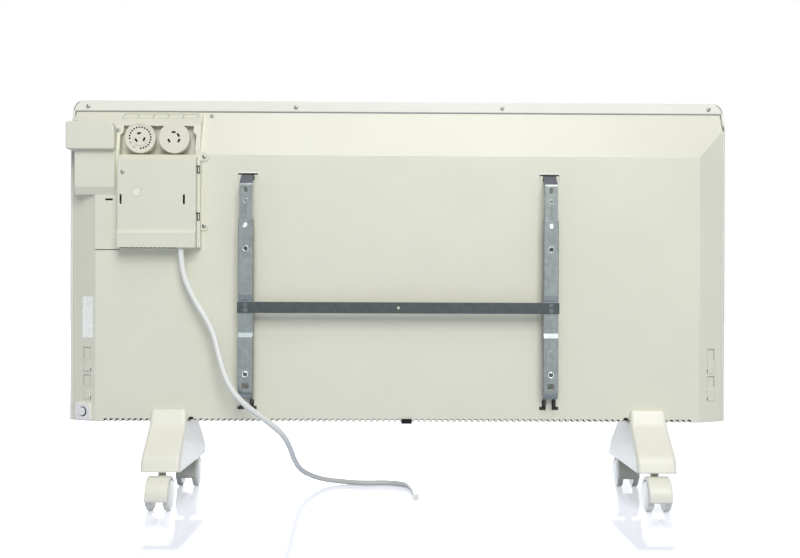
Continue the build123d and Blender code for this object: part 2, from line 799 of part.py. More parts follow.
def make_junction_cover():
    mid_x = (cover_right + cover_left) / 2
    width = cover_left - cover_right
    with BuildPart() as junction_cover:
        with BuildSketch(Plane.YZ.offset(cover_right)):
            add(cover_outline(0))
        extrude(amount=width)
        fillet(edges().filter_by_position(Axis.X, cover_left - 0.1, cover_left + 0.1)
               .filter_by_position(Axis.Y, plate_y + 1, wall_y), 1.2)
        fillet(edges().filter_by_position(Axis.X, cover_right - 0.1, cover_right + 0.1)
               .filter_by_position(Axis.Y, plate_y + 1, wall_y), 1.2)
        with BuildSketch(Plane.YZ.offset(cover_right + plastic)):
            add(cover_outline(plastic))
        extrude(amount=width - 2 * plastic, mode=Mode.SUBTRACT)
        # side windows over the latch fingers
        for z in snap_zs:
            with Locations((cover_right, snap_y + 2, z)):
                Box(3 * plastic, 8, snap_height + 2 * fit_gap, mode=Mode.SUBTRACT)
        # two key slots in the face, and the screw's hole
        with BuildSketch(Plane.XZ.offset(-rear_y - cover_rise_low - 1)):
            with Locations((cover_left - key_inset, cover_key_z), (cover_right + key_inset + 11, cover_key_z)):
                Rectangle(2.8, cover_key_height)
            with Locations((cover_screw_x, cover_screw_z)):
                Circle(small_screw_radius + hole_gap)
        extrude(amount=cover_rise_low - proud - 5, mode=Mode.SUBTRACT)
        # shallow round mark
        with BuildSketch(Plane.XZ.offset(-rear_y - cover_rise_high)):
            with Locations((cover_left - 26, cover_step_z + 55)):
                Circle(6.6)
                Circle(5.8, mode=Mode.SUBTRACT)
        extrude(amount=0.4, mode=Mode.SUBTRACT)
        # vents and the cord's hole in the bottom wall
        with BuildSketch(Plane.XY.offset(cover_low_z - 1)):
            with Locations((vent_x, rear_y + cover_rise_low - plastic)):
                with GridLocations(vent_pitch, 1, vent_count, 1):
                    Rectangle(vent_pitch / 2, vent_depth, align=(Align.CENTER, Align.MAX))
            with Locations((cord_x, cord_exit_y)):
                Circle(cord_radius + fit_gap)
        extrude(amount=plastic + 2, mode=Mode.SUBTRACT)
    save(junction_cover, "junction_cover")


def make_screw(plane, reach, spots, node):
    """Pan-head screws that stand on a plane and reach into it."""
    with BuildPart() as screws:
        with BuildSketch(plane):
            with Locations(*spots):
                Circle(small_head_radius)
        extrude(amount=small_head_height)
        with BuildSketch(plane):
            with Locations(*spots):
                Circle(small_screw_radius)
        extrude(amount=-reach)
    save(screws, node)


def make_housing_screws():
    rear = Plane(origin=(0, plate_y, 0), x_dir=(-1, 0, 0), z_dir=(0, 1, 0))
    make_screw(rear, 8, [(-ear_x, z) for z in ear_zs], "housing_screws")
    cover = Plane(origin=(0, rear_y + cover_rise_high, 0), x_dir=(-1, 0, 0), z_dir=(0, 1, 0))
    make_screw(cover, 9, [(-cover_screw_x, cover_screw_z)], "cover_screw")


def make_thumb_wheel(x, node):
    """Thumb wheel: a faceted cup with a hub, whose face is turned to the rear."""
    face_y = thumb_rear_y - thumb_rim_step
    with BuildPart() as wheel:
        with BuildSketch(Plane.XZ.offset(-thumb_rear_y)):
            with Locations((x, wheel_z)):
                RegularPolygon(thumb_radius, 32)
        extrude(amount=thumb_depth)
        chamfer(faces().sort_by(Axis.Y)[-1].edges(), 0.6)
        with BuildSketch(Plane.XZ.offset(-face_y + plastic)):
            with Locations((x, wheel_z)):
                Circle(thumb_radius - plastic)
                Circle(spindle_radius + plastic, mode=Mode.SUBTRACT)
        extrude(amount=thumb_depth, mode=Mode.SUBTRACT)
        with BuildSketch(Plane.XZ.offset(-face_y + plastic)):
            with Locations((x, wheel_z)):
                Circle(spindle_radius + spindle_gap)
        extrude(amount=thumb_depth, mode=Mode.SUBTRACT)
        if node == "thermostat_wheel":
            # sunk ring between the rim and the middle disc, with the limit-pin holes
            with BuildSketch(Plane.XZ.offset(-thumb_rear_y)):
                with Locations((x, wheel_z)):
                    Circle(thumb_radius - 2.6)
                    Circle(limit_disc_radius, mode=Mode.SUBTRACT)
            extrude(amount=thumb_rim_step, mode=Mode.SUBTRACT)
            with BuildSketch(Plane.XZ.offset(-thumb_rear_y)):
                with Locations(*limit_spots(limit_count, limit_start)):
                    Circle(limit_hole_radius)
            extrude(amount=2 * plastic, mode=Mode.SUBTRACT)
            with BuildSketch(Plane.XZ.offset(-thumb_rear_y)):
                with Locations(*limit_spots(2, stored_start, 2)):
                    Circle(limit_hole_radius + hole_gap)
            extrude(amount=2 * plastic, mode=Mode.SUBTRACT)
            slots = ((6.1, 103), (5.9, -21), (6.3, 214))
        else:
            slots = ((7.7, 94), (6.8, 34), (7.4, -30), (8.0, 209))
        with BuildSketch(Plane.XZ.offset(-thumb_rear_y)):
            for radius, angle in slots:
                # angles are read from behind, where +X is to the left
                turn = math.radians(180 - angle)
                with Locations(Location((x + radius * math.cos(turn), wheel_z + radius * math.sin(turn), 0),
                                        math.degrees(turn) + 90)):
                    Rectangle(5.2, 2.7)
        extrude(amount=2 * plastic, mode=Mode.SUBTRACT)
    save(wheel, node)


def limit_spots(count, start, step=1):
    """Centres on the limit ring, counted clockwise as seen from behind."""
    turns = [math.radians(180 - (start - i * step * limit_pitch)) for i in range(count)]
    return [
        (thermostat_x + limit_ring_radius * math.cos(turn), wheel_z + limit_ring_radius * math.sin(turn))
        for turn in turns
    ]


def make_limit_pins():
    with BuildPart() as limit_pins:
        for spot in limit_spots(2, stored_start, 2):
            with BuildSketch(Plane.XZ.offset(-thumb_rear_y)):
                with Locations(spot):
                    Circle(pin_head_radius)
            extrude(amount=thumb_rim_step)
            with BuildSketch(Plane.XZ.offset(-thumb_rear_y + thumb_rim_step)):
                with Locations(spot):
                    Circle(limit_hole_radius)
            extrude(amount=2 * plastic)
    save(limit_pins, "limit_pins")


def make_spindle(x, node):
    with BuildPart() as spindle:
        with BuildSketch(Plane.XZ.offset(-thumb_rear_y + thumb_rim_step + plastic)):
            with Locations((x, wheel_z)):
                Circle(spindle_radius)
        extrude(amount=thumb_rear_y - thumb_rim_step - plastic - spindle_end_y)
    save(spindle, node)


def make_control(x, width, height, node):
    """Thermostat or switch body behind its wheel, on the board, with a bore for the spindle."""
    rear = recess_floor_y - plastic - fit_gap
    with BuildPart() as control:
        with BuildSketch(Plane.XZ.offset(-rear)):
            with Locations((x, wheel_z)):
                RectangleRounded(width, height, 1.5)
        extrude(amount=rear - board_y - board_thickness)
        with BuildSketch(Plane.XZ.offset(-rear)):
            with Locations((x, wheel_z)):
                Circle(spindle_radius + spindle_gap)
        extrude(amount=rear - board_y, mode=Mode.SUBTRACT)
    save(control, node)


def make_control_board():
    with BuildPart() as control_board:
        with BuildSketch(Plane.XZ.offset(-board_y)):
            with Locations(((thermostat_x + mode_x) / 2, board_mid_z)):
                Rectangle(board_width, board_height)
            with Locations((thermostat_x, wheel_z), (mode_x, wheel_z)):
                Circle(spindle_radius + 1, mode=Mode.SUBTRACT)
        extrude(amount=-board_thickness)
    save(control_board, "control_board")


def make_junction_pieces():
    floor_y = tray_y + plastic
    with BuildPart() as terminal_block:
        with BuildSketch(Plane.XZ.offset(-floor_y)):
            with Locations((terminal_x, terminal_z)):
                Rectangle(terminal_width, terminal_height)
        extrude(amount=-terminal_rise)
        with BuildSketch(Plane.XZ.offset(-floor_y - terminal_rise)):
            with Locations((terminal_x, terminal_z)):
                with GridLocations(terminal_width / terminal_ways, terminal_height / 2, terminal_ways, 2):
                    Circle(terminal_hole_radius)
        extrude(amount=6, mode=Mode.SUBTRACT)
    save(terminal_block, "terminal_block")

    with BuildPart() as cord_clamp:
        with BuildSketch(Plane.XY.offset(clamp_low_z)):
            with Locations((cord_x, plate_y)):
                Rectangle(clamp_width, rear_y + cover_rise_low - plastic - fit_gap - plate_y,
                          align=(Align.CENTER, Align.MIN))
        extrude(amount=clamp_height)
        fillet(edges().filter_by(Axis.Z).group_by(Axis.Y)[-1], 3)
    save(cord_clamp, "cord_clamp")


def make_heating_pieces():
    centre = Plane(origin=(-element_half, element_y, element_z), x_dir=(0, 1, 0), z_dir=(1, 0, 0))
    with BuildPart() as heating_element:
        with BuildSketch(centre):
            Circle(element_core)
            for angle in (45, 135):
                with Locations(Location((0, 0, 0), angle)):
                    Rectangle(2 * (element_core + element_fin), fin_thickness)
            Rectangle(fin_thickness, 2 * (element_core + element_fin / 2))
        extrude(amount=2 * element_half)
        with BuildSketch(centre.offset(-element_tail)):
            Circle(element_core)
        extrude(amount=2 * (element_half + element_tail))
        with BuildSketch(centre.offset(-element_tail - pin_length)):
            Circle(2.5)
        extrude(amount=2 * (element_half + element_tail + pin_length))
    save(heating_element, "heating_element")

    outer = element_core + insulator_wall
    with BuildPart() as element_insulators:
        for side in (-1, 1):
            with BuildSketch(Plane.YZ.offset(side * (element_half + insulator_width / 2 + fit_gap))):
                with Locations((element_y, element_z)):
                    Circle(outer)
                    Circle(element_core + hole_gap / 2, mode=Mode.SUBTRACT)
            extrude(amount=insulator_width / 2, both=True)
    save(element_insulators, "element_insulators")

    with BuildPart() as element_brackets:
        for side in (-1, 1):
            plate_x = side * (element_half + insulator_width / 2 + fit_gap)
            with BuildSketch(Plane.YZ.offset(plate_x)):
                with BuildLine():
                    Polyline(
                        (rear_y - sheet, element_z - 34), (rear_y - sheet, element_z + 34),
                        (element_y, element_z + outer + 8), (element_y - outer - 4, element_z + outer + 4),
                        (element_y - outer - 4, element_z - outer - 4), (element_y, element_z - outer - 8),
                        close=True,
                    )
                make_face()
                with Locations((element_y, element_z)):
                    Circle(outer + hole_gap / 2, mode=Mode.SUBTRACT)
            extrude(amount=bracket_sheet / 2, both=True)
            with Locations((plate_x - side * 7, rear_y - sheet - bracket_sheet / 2, element_z)):
                Box(14, bracket_sheet, 68)
    save(element_brackets, "element_brackets")

    baffle_z = (baffle_low_z + baffle_top_z) / 2
    with BuildPart() as heat_baffle:
        with Locations((baffle_x, (baffle_y + rear_y - sheet) / 2, baffle_z)):
            Box(baffle_width, rear_y - sheet - baffle_y, baffle_top_z - baffle_low_z)
        with Locations((baffle_x, (baffle_y + rear_y) / 2 + baffle_sheet, baffle_z)):
            Box(baffle_width, rear_y - baffle_y, baffle_top_z - baffle_low_z - 2 * baffle_sheet,
                mode=Mode.SUBTRACT)
    save(heat_baffle, "heat_baffle")

    with BuildPart() as thermal_cutout:
        with BuildSketch(Plane.XZ.offset(-baffle_y)):
            with Locations((cutout_x, baffle_low_z + 24)):
                RectangleRounded(30, 12, 5)
        extrude(amount=1)
        with BuildSketch(Plane.XZ.offset(-baffle_y)):
            with Locations((cutout_x, baffle_low_z + 24)):
                Circle(8)
        extrude(amount=9)
    save(thermal_cutout, "thermal_cutout")


def foot_form(inset):
    """The foot's form as a block: a bridge under the panel, swept down to both ends."""
    low_z = foot_low_z - 3 * foot_wall
    top = foot_rear[-1][1]
    with BuildPart() as form:
        with BuildSketch(Plane.YZ):
            with BuildLine():
                rear = FilletPolyline(*foot_rear, radius=foot_rounds)
                Polyline(rear @ 1, (rear_y + fit_gap, top), (rear_y + fit_gap, floor_gap), foot_front[0])
                front = FilletPolyline(*foot_front, radius=foot_rounds[1])
                Polyline(front @ 1, (foot_front[-1][0], low_z), (foot_rear[0][0], low_z), rear @ 0)
            make_face()
            if inset:
                offset(amount=-inset, kind=Kind.INTERSECTION)
        extrude(amount=foot_width_low, both=True)
        with BuildSketch(Plane.XZ.offset(-foot_rear[0][0] - 1)):
            with BuildLine():
                Polyline(
                    (-foot_width_low / 2, low_z), (foot_width_low / 2, low_z),
                    (foot_width_low / 2, foot_width_z), (foot_width_top / 2, top),
                    (-foot_width_top / 2, top), (-foot_width_low / 2, foot_width_z), close=True,
                )
            make_face()
            if inset:
                offset(amount=-inset, kind=Kind.INTERSECTION)
        extrude(amount=foot_rear[0][0] - foot_front[-1][0] + 2, mode=Mode.INTERSECT)
        if not inset:
            # round the long edges over both legs, but not where the foot meets the panel
            sides = edges().filter_by(
                lambda edge: abs(edge.center().X) > foot_width_top / 2 - 2
                and abs(edge.tangent_at(0.5).X) < 0.5 and edge.center().Z > low_z + 1
            )
            fillet(sides.filter_by(lambda edge: edge.center().Y > rear_y + 1), foot_edge_round)
            fillet(sides.filter_by(lambda edge: edge.center().Y < foot_front[0][0] - 1), foot_edge_round)
    return form.part


def make_feet():
    outer = foot_form(0)
    inner = foot_form(foot_wall)
    for x, node in zip(foot_xs, ("left_foot", "right_foot")):
        with BuildPart() as cavity:
            add(inner)
            with Locations(*[(0, y, foot_low_z) for y in (-stem_y, stem_y)]):
                Cylinder(boss_radius, panel_height, align=(Align.CENTER, Align.CENTER, Align.MIN),
                         mode=Mode.SUBTRACT)
            with Locations((0, 0, foot_low_z + foot_wall)):
                Box(foot_wall, 2 * stem_y, panel_height, align=(Align.CENTER, Align.CENTER, Align.MIN),
                    mode=Mode.SUBTRACT)
            with Locations(*[(0, y, floor_gap - foot_wall) for y in foot_screw_ys]):
                Cylinder(foot_head_radius + foot_head_room, panel_height,
                         align=(Align.CENTER, Align.CENTER, Align.MAX))
        with BuildPart() as foot:
            with Locations((x, 0, 0)):
                add(outer)
                add(cavity.part, mode=Mode.SUBTRACT)
            with Locations((x, 0, foot_low_z)):
                Box(2 * foot_width_low, 4 * stem_y, panel_height, align=(Align.CENTER, Align.CENTER, Align.MAX),
                    mode=Mode.SUBTRACT)
            with Locations(*[(x, y, foot_low_z) for y in (-stem_y, stem_y)]):
                Cylinder(stem_radius + stem_gap, stem_top_z + 0.5 - foot_low_z,
                         align=(Align.CENTER, Align.CENTER, Align.MIN), mode=Mode.SUBTRACT)
            with Locations(*[(x, y, floor_gap) for y in foot_screw_ys]):
                Cylinder(foot_screw_radius + hole_gap, 4 * foot_wall, mode=Mode.SUBTRACT)
        save(foot, node)

    with BuildPart() as foot_screws:
        for x in foot_xs:
            with Locations(*[(x, y, floor_gap - foot_wall) for y in foot_screw_ys]):
                Cylinder(foot_head_radius, foot_head_height, align=(Align.CENTER, Align.CENTER, Align.MAX))
                Cylinder(foot_screw_radius, foot_wall + foot_screw_reach,
                         align=(Align.CENTER, Align.CENTER, Align.MIN))
    save(foot_screws, "foot_screws")


def make_castor(name, x, end):
    """Hooded twin-wheel castor under a foot's end; its wheels trail outwards."""
    pin_y = end * stem_y
    axle_y = end * (stem_y + trail)
    well_radius = castor_wheel_radius + hood_gap
    hood_radius = well_radius + hood_wall
    with BuildPart() as hood:
        with BuildSketch(Plane.YZ.offset(x)):
            with Locations((axle_y, castor_wheel_radius)):
                Circle(hood_radius)
        extrude(amount=hood_half, both=True)
        fillet(edges().filter_by(GeomType.CIRCLE), 1.5)
        with Locations((x, pin_y, castor_wheel_radius)):
            Cylinder(neck_radius, foot_low_z - fit_gap - castor_wheel_radius,
                     align=(Align.CENTER, Align.CENTER, Align.MIN))
        with Locations((x, axle_y, 0)):
            Box(4 * hood_half, 4 * hood_radius, skirt_z, align=(Align.CENTER, Align.CENTER, Align.MIN),
                mode=Mode.SUBTRACT)
            Box(4 * hood_half, 4 * hood_radius, 2 * hood_radius, align=(Align.CENTER, Align.CENTER, Align.MAX),
                mode=Mode.SUBTRACT)
        for side in (-1, 1):
            with BuildSketch(Plane.YZ.offset(x + side * web_width / 2)):
                with Locations((axle_y, castor_wheel_radius)):
                    Circle(well_radius)
            extrude(amount=side * 2 * hood_half, mode=Mode.SUBTRACT)
        with BuildSketch(Plane.YZ.offset(x)):
            with Locations((axle_y, castor_wheel_radius)):
                Circle(axle_radius + pin_gap)
        extrude(amount=hood_half, both=True, mode=Mode.SUBTRACT)
        with Locations((x, pin_y, stem_low_z)):
            Cylinder(stem_radius + pin_gap, hood_radius, align=(Align.CENTER, Align.CENTER, Align.MIN),
                     mode=Mode.SUBTRACT)
    save(hood, f"{name}_hood")

    with BuildPart() as stem:
        with Locations((x, pin_y, stem_low_z)):
            Cylinder(stem_radius, stem_top_z - stem_low_z, align=(Align.CENTER, Align.CENTER, Align.MIN))
        chamfer(edges().group_by(Axis.Z)[-1], 0.8)
    save(stem, f"{name}_stem")

    wheel_outer = wheel_spacing / 2 + wheel_width
    hub_inner = web_width / 2 + fit_gap
    bore = axle_radius + spindle_gap
    with BuildPart() as axle:
        with BuildSketch(Plane.YZ.offset(x)):
            with Locations((axle_y, castor_wheel_radius)):
                Circle(axle_radius)
        extrude(amount=wheel_outer - axle_cover, both=True)
    save(axle, f"{name}_axle")

    # the wheel's outer face is a dome whose middle lies on the axle's line
    rim_r = castor_wheel_radius - tread_round
    dome_rim_x = wheel_outer - dome_rise
    dome_radius = (rim_r ** 2 + dome_rise ** 2) / (2 * dome_rise)
    dome_mid_x = wheel_outer - dome_radius + math.sqrt(dome_radius ** 2 - (rim_r / 2) ** 2)
    for side, hand in ((-1, "right"), (1, "left")):
        inner_x = wheel_spacing / 2
        wheel_plane = Plane(origin=(x, axle_y, castor_wheel_radius), x_dir=(side, 0, 0), z_dir=(0, 0, 1))
        with BuildPart() as wheel:
            with BuildSketch(wheel_plane):
                with BuildLine():
                    Polyline(
                        (wheel_outer, 0), (wheel_outer - axle_cover + fit_gap, 0),
                        (wheel_outer - axle_cover + fit_gap, bore), (hub_inner, bore),
                        (hub_inner, hub_radius), (inner_x, hub_radius), (inner_x, castor_wheel_radius - 1),
                        (inner_x + 1, castor_wheel_radius), (dome_rim_x - tread_round, castor_wheel_radius),
                        (dome_rim_x, rim_r),
                    )
                    ThreePointArc((dome_rim_x, rim_r), (dome_mid_x, rim_r / 2), (wheel_outer, 0))
                make_face()
                fillet(vertices().sort_by_distance((dome_rim_x, rim_r))[:2], wheel_edge)
            revolve(axis=Axis((x, axle_y, castor_wheel_radius), (1, 0, 0)))
        save(wheel, f"{name}_{hand}_wheel")


def rail_face(inset):
    """The rail's side view: its web steps in where the bar crosses it."""
    low_in, low_out, high_in, high_out = joggle_zs
    base_y = wall_y - rail_flange - 2 * inset
    with BuildSketch() as face:
        with BuildLine():
            Polyline(
                (base_y, rail_low_z), (wall_y - 7, rail_low_z), (wall_y, rail_low_z + 7), (wall_y, low_in),
                (web_y, low_out), (web_y, high_in), (wall_y, high_out), (wall_y, rail_top_z + 2 * inset),
                (base_y, rail_top_z + 2 * inset), close=True,
            )
        make_face()
        fillet(vertices().sort_by_distance((wall_y, rail_low_z))[:2], 5)
        if inset:
            offset(amount=-inset, kind=Kind.INTERSECTION)
    return face.sketch


def make_rail(x, node):
    inner_half = rail_width / 2 - rail_sheet
    rear = Plane(origin=(x, wall_y, 0), x_dir=(-1, 0, 0), z_dir=(0, 1, 0))
    with BuildPart() as rail:
        with BuildSketch(Plane.YZ.offset(x)):
            add(rail_face(0))
        extrude(amount=rail_width / 2, both=True)
        fillet(edges().filter_by(Axis.Z).filter_by_position(Axis.Y, wall_y - 0.1, wall_y + 0.1), rail_sheet)
        with BuildSketch(Plane.YZ.offset(x)):
            add(rail_face(rail_sheet))
        extrude(amount=inner_half, both=True, mode=Mode.SUBTRACT)
        # hooks through the pan's lower slots, turned down inside
        inside_y = rear_y - sheet / 2 - hook_reach
        hook_low_z = hinge_z - hook_height / 2
        for side in (-1, 1):
            with BuildSketch(Plane.YZ.offset(x + side * (hook_offset - hook_plate / 2))):
                with BuildLine():
                    Polyline(
                        (wall_y - 8, rail_low_z + rail_sheet + 1), (rear_y + rail_gap, rail_low_z + rail_sheet + 1),
                        (rear_y + rail_gap, hinge_z + hook_height / 2), (inside_y, hinge_z + hook_height / 2),
                        (inside_y, hook_low_z - 5), (inside_y + 3, hook_low_z - 5), (inside_y + 3, hook_low_z),
                        (wall_y - 8, hook_low_z), close=True,
                    )
                make_face()
            extrude(amount=side * hook_plate)
        # tabs that hold the latch strip against the web
        tab_y = wall_y - rail_sheet - latch_side_gap - rail_sheet - fit_gap
        for side in (-1, 1):
            with Locations((x + side * (inner_half - 1.2), tab_y, rail_top_z - 12)):
                Box(4, rail_sheet, 10, align=(Align.CENTER, Align.MAX, Align.CENTER))
        # wall-screw holes, square hole, shallow groove and guide dimple
        with BuildSketch(rear.offset(1)):
            with Locations(*[(0, z) for z in wall_hole_zs]):
                Circle(wall_hole_radius)
            with Locations((0, square_hole_z)):
                Rectangle(*square_hole)
        extrude(amount=-rail_depth / 2, mode=Mode.SUBTRACT)
        with BuildSketch(rear):
            with Locations(Location((0, groove_z, 0), 90)):
                SlotOverall(groove_length, groove_width)
            with Locations((0, wall_hole_zs[0])):
                Circle(wall_hole_radius, mode=Mode.SUBTRACT)
        extrude(amount=-groove_depth, mode=Mode.SUBTRACT)
        with BuildSketch(rear):
            with Locations((0, dimple_z)):
                Circle(2.6)
        extrude(amount=-0.6, taper=25, mode=Mode.SUBTRACT)
        # rivet holes
        with BuildSketch(rear):
            with Locations((0, bar_z - rivet_offset), (0, bar_z + rivet_offset)):
                Circle(rivet_radius)
        extrude(amount=-rail_depth / 2, mode=Mode.SUBTRACT)
    save(rail, node)


def make_latch(x, node):
    """Upper catch: a strip that slides in the rail, with a tongue into the pan's upper slot."""
    half = rail_width / 2 - rail_sheet - latch_side_gap
    strip_y = wall_y - rail_sheet - latch_side_gap - rail_sheet / 2
    rear = Plane(origin=(x, wall_y, 0), x_dir=(-1, 0, 0), z_dir=(0, 1, 0))
    path = [
        (strip_y, latch_low_z), (strip_y, latch_bend_z), (rear_y + 4, latch_z), (latch_tongue_y, latch_z),
    ]
    with BuildPart() as latch:
        with BuildSketch(Plane.YZ.offset(x)):
            with BuildLine():
                FilletPolyline(*path, radius=latch_bend_radius)
            trace(line_width=rail_sheet)
        extrude(amount=half, both=True)
        with BuildSketch(rear):
            with Locations(Location((0, latch_window_z, 0), 90)):
                SlotOverall(9, 6)
            with Locations((0, latch_mark_z)):
                Circle(1.6)
        extrude(amount=-rail_depth / 2, mode=Mode.SUBTRACT)
        with BuildSketch(Plane(origin=(x, strip_y + rail_sheet / 2, 0), x_dir=(-1, 0, 0), z_dir=(0, 1, 0))):
            with Locations((0, (latch_mark_z + rail_top_z) / 2 - 4)):
                Rectangle(1.6, latch_mark_z - rail_top_z)
        extrude(amount=-0.4, mode=Mode.SUBTRACT)
    save(latch, node)


def make_crossbar():
    rear = Plane(origin=(0, web_y + bar_thickness, 0), x_dir=(-1, 0, 0), z_dir=(0, 1, 0))
    spots = [(side * rail_x, bar_z + rise * rivet_offset) for side in (-1, 1) for rise in (-1, 1)]
    with BuildPart() as crossbar:
        with BuildSketch(rear):
            with Locations((0, bar_z)):
                Rectangle(2 * bar_half, bar_height)
            with Locations(*spots):
                Circle(rivet_radius, mode=Mode.SUBTRACT)
            with Locations((0, bar_z)):
                Circle(rivet_radius, mode=Mode.SUBTRACT)
        extrude(amount=-bar_thickness)
    save(crossbar, "crossbar")

    with BuildPart() as bracket_rivets:
        for spot in spots:
            with BuildSketch(rear):
                with Locations(spot):
                    Circle(rivet_radius)
            extrude(amount=-bar_thickness - rail_sheet)
            with BuildSketch(rear):
                with Locations(spot):
                    Circle(rivet_head_radius)
            extrude(amount=wall_y - web_y - bar_thickness)
            with BuildSketch(rear.offset(-bar_thickness - rail_sheet)):
                with Locations(spot):
                    Circle(rivet_head_radius)
            extrude(amount=-1.2)
    save(bracket_rivets, "bracket_rivets")


def corner_radii(points):
    """Arc radius at each inner corner of a route: as large as its two runs allow."""
    radii = []
    for before, here, after in zip(points, points[1:], points[2:]):
        run_in, run_out = Vector(*here) - Vector(*before), Vector(*after) - Vector(*here)
        half_turn = math.radians(run_in.get_angle(run_out)) / 2
        radii.append(0.45 * min(run_in.length, run_out.length) / math.tan(half_turn))
    return radii


def make_cord():
    radii = corner_radii(cord_route)
    runs = [(Vector(*b) - Vector(*a)).length for a, b in zip(cord_route, cord_route[1:])]
    with BuildPart() as mains_cord:
        with BuildLine() as path:
            FilletPolyline(*cord_route, radius=radii)
        with BuildSketch(Plane(origin=path.line @ 0, z_dir=path.line % 0)):
            Circle(cord_radius)
        sweep()
    save(mains_cord, "mains_cord")
    length = sum(edge.length for edge in path.line.edges())
    print("cord runs", [round(run) for run in runs])
    print("cord radii", [round(radius) for radius in radii])
    print("cord length", round(length), "volume over section times length",
          round(mains_cord.part.volume / (math.pi * cord_radius ** 2 * length), 4))


make_front_cover()
make_back_panel()
make_rim_screws()
make_bevel_pieces()
make_centre_clip()
housing_part = make_control_housing()
make_control_cap(housing_part)
make_junction_cover()
make_housing_screws()
make_thumb_wheel(thermostat_x, "thermostat_wheel")
make_thumb_wheel(mode_x, "mode_wheel")
make_limit_pins()
make_spindle(thermostat_x, "thermostat_spindle")
make_spindle(mode_x, "mode_spindle")
make_control(thermostat_x, 18, 20, "thermostat_control")
make_control(mode_x, 20, 20, "mode_switch")
make_control_board()
make_junction_pieces()
make_heating_pieces()
make_feet()
for foot_x, foot_side in zip(foot_xs, ("left", "right")):
    for castor_end, end_name in ((1, "rear"), (-1, "front")):
        make_castor(f"{foot_side}_{end_name}_castor", foot_x, castor_end)
for bracket_x, bracket_side in ((rail_x, "left"), (-rail_x, "right")):
    make_rail(bracket_x, f"{bracket_side}_rail")
    make_latch(bracket_x, f"{bracket_side}_latch")
make_crossbar()
make_cord()
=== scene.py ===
import json
import math
import bmesh
import bpy
from mathutils import Matrix, Vector


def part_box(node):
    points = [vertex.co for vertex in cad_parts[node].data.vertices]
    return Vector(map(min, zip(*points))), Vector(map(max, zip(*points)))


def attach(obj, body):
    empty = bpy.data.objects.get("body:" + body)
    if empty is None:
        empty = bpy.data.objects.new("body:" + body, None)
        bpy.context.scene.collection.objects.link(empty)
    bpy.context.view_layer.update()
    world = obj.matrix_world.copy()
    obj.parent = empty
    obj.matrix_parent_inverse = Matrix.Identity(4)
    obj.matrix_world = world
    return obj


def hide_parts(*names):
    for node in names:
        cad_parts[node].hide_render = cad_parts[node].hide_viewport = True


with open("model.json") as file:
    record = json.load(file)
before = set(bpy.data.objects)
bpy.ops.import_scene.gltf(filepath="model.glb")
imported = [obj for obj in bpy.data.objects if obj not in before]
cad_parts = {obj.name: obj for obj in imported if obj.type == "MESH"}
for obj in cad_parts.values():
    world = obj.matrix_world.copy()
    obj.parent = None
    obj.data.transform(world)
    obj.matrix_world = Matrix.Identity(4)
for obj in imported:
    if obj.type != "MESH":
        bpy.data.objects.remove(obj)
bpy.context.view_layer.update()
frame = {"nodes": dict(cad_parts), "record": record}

scene = bpy.context.scene
nodes = frame["nodes"]

# Lengths are metres in the row frame: X along the panel with the controls' end at +X, Y towards the
# wall, Z up from the floor. Left and right are as the photo shows them, from behind: left is at +X.
WALLWARD = (0, 1, 0)


# ---------------------------------------------------------------- camera
PHOTO_WIDTH, PHOTO_HEIGHT = 800.0, 558.0    # the photograph's frame in pixels
FOCAL_PX = 1110.0                           # focal length in the same pixels
HORIZON_X, HORIZON_Y = 401.0, 303.5         # the pixel where lines square to the panel meet
CAMERA_PLACE = (-0.0034, 1.5496, 0.271)
CAMERA_PAN = math.radians(-0.65)            # the panel stood a little askew to the film
CAMERA_ROLL = math.radians(-0.22)
SENSOR_WIDTH = 36.0                         # millimetres
VIEW_REACH = 60.0


def add_camera():
    data = bpy.data.cameras.new("camera")
    data.sensor_width = SENSOR_WIDTH
    data.lens = FOCAL_PX / PHOTO_WIDTH * SENSOR_WIDTH
    pan_shift = FOCAL_PX * math.tan(CAMERA_PAN)
    data.shift_x = (PHOTO_WIDTH / 2 - HORIZON_X + pan_shift) / PHOTO_WIDTH
    data.shift_y = (HORIZON_Y - PHOTO_HEIGHT / 2) / PHOTO_WIDTH
    data.clip_end = VIEW_REACH
    camera = bpy.data.objects.new("camera", data)
    scene.collection.objects.link(camera)
    camera.location = CAMERA_PLACE
    camera.rotation_euler = (math.radians(90.0), CAMERA_ROLL, math.radians(180.0) + CAMERA_PAN)
    scene.camera = camera


add_camera()


# ---------------------------------------------------------------- materials
def linear(r, g, b):
    """0-255 display colour to a scene-linear RGBA."""
    out = []
    for value in (r, g, b):
        c = value / 255.0
        out.append(c / 12.92 if c <= 0.04045 else ((c + 0.055) / 1.055) ** 2.4)
    return (*out, 1.0)


def shade(colour, factor):
    """A linear colour made darker or lighter by a factor."""
    return (*(min(1.0, c * factor) for c in colour[:3]), 1.0)


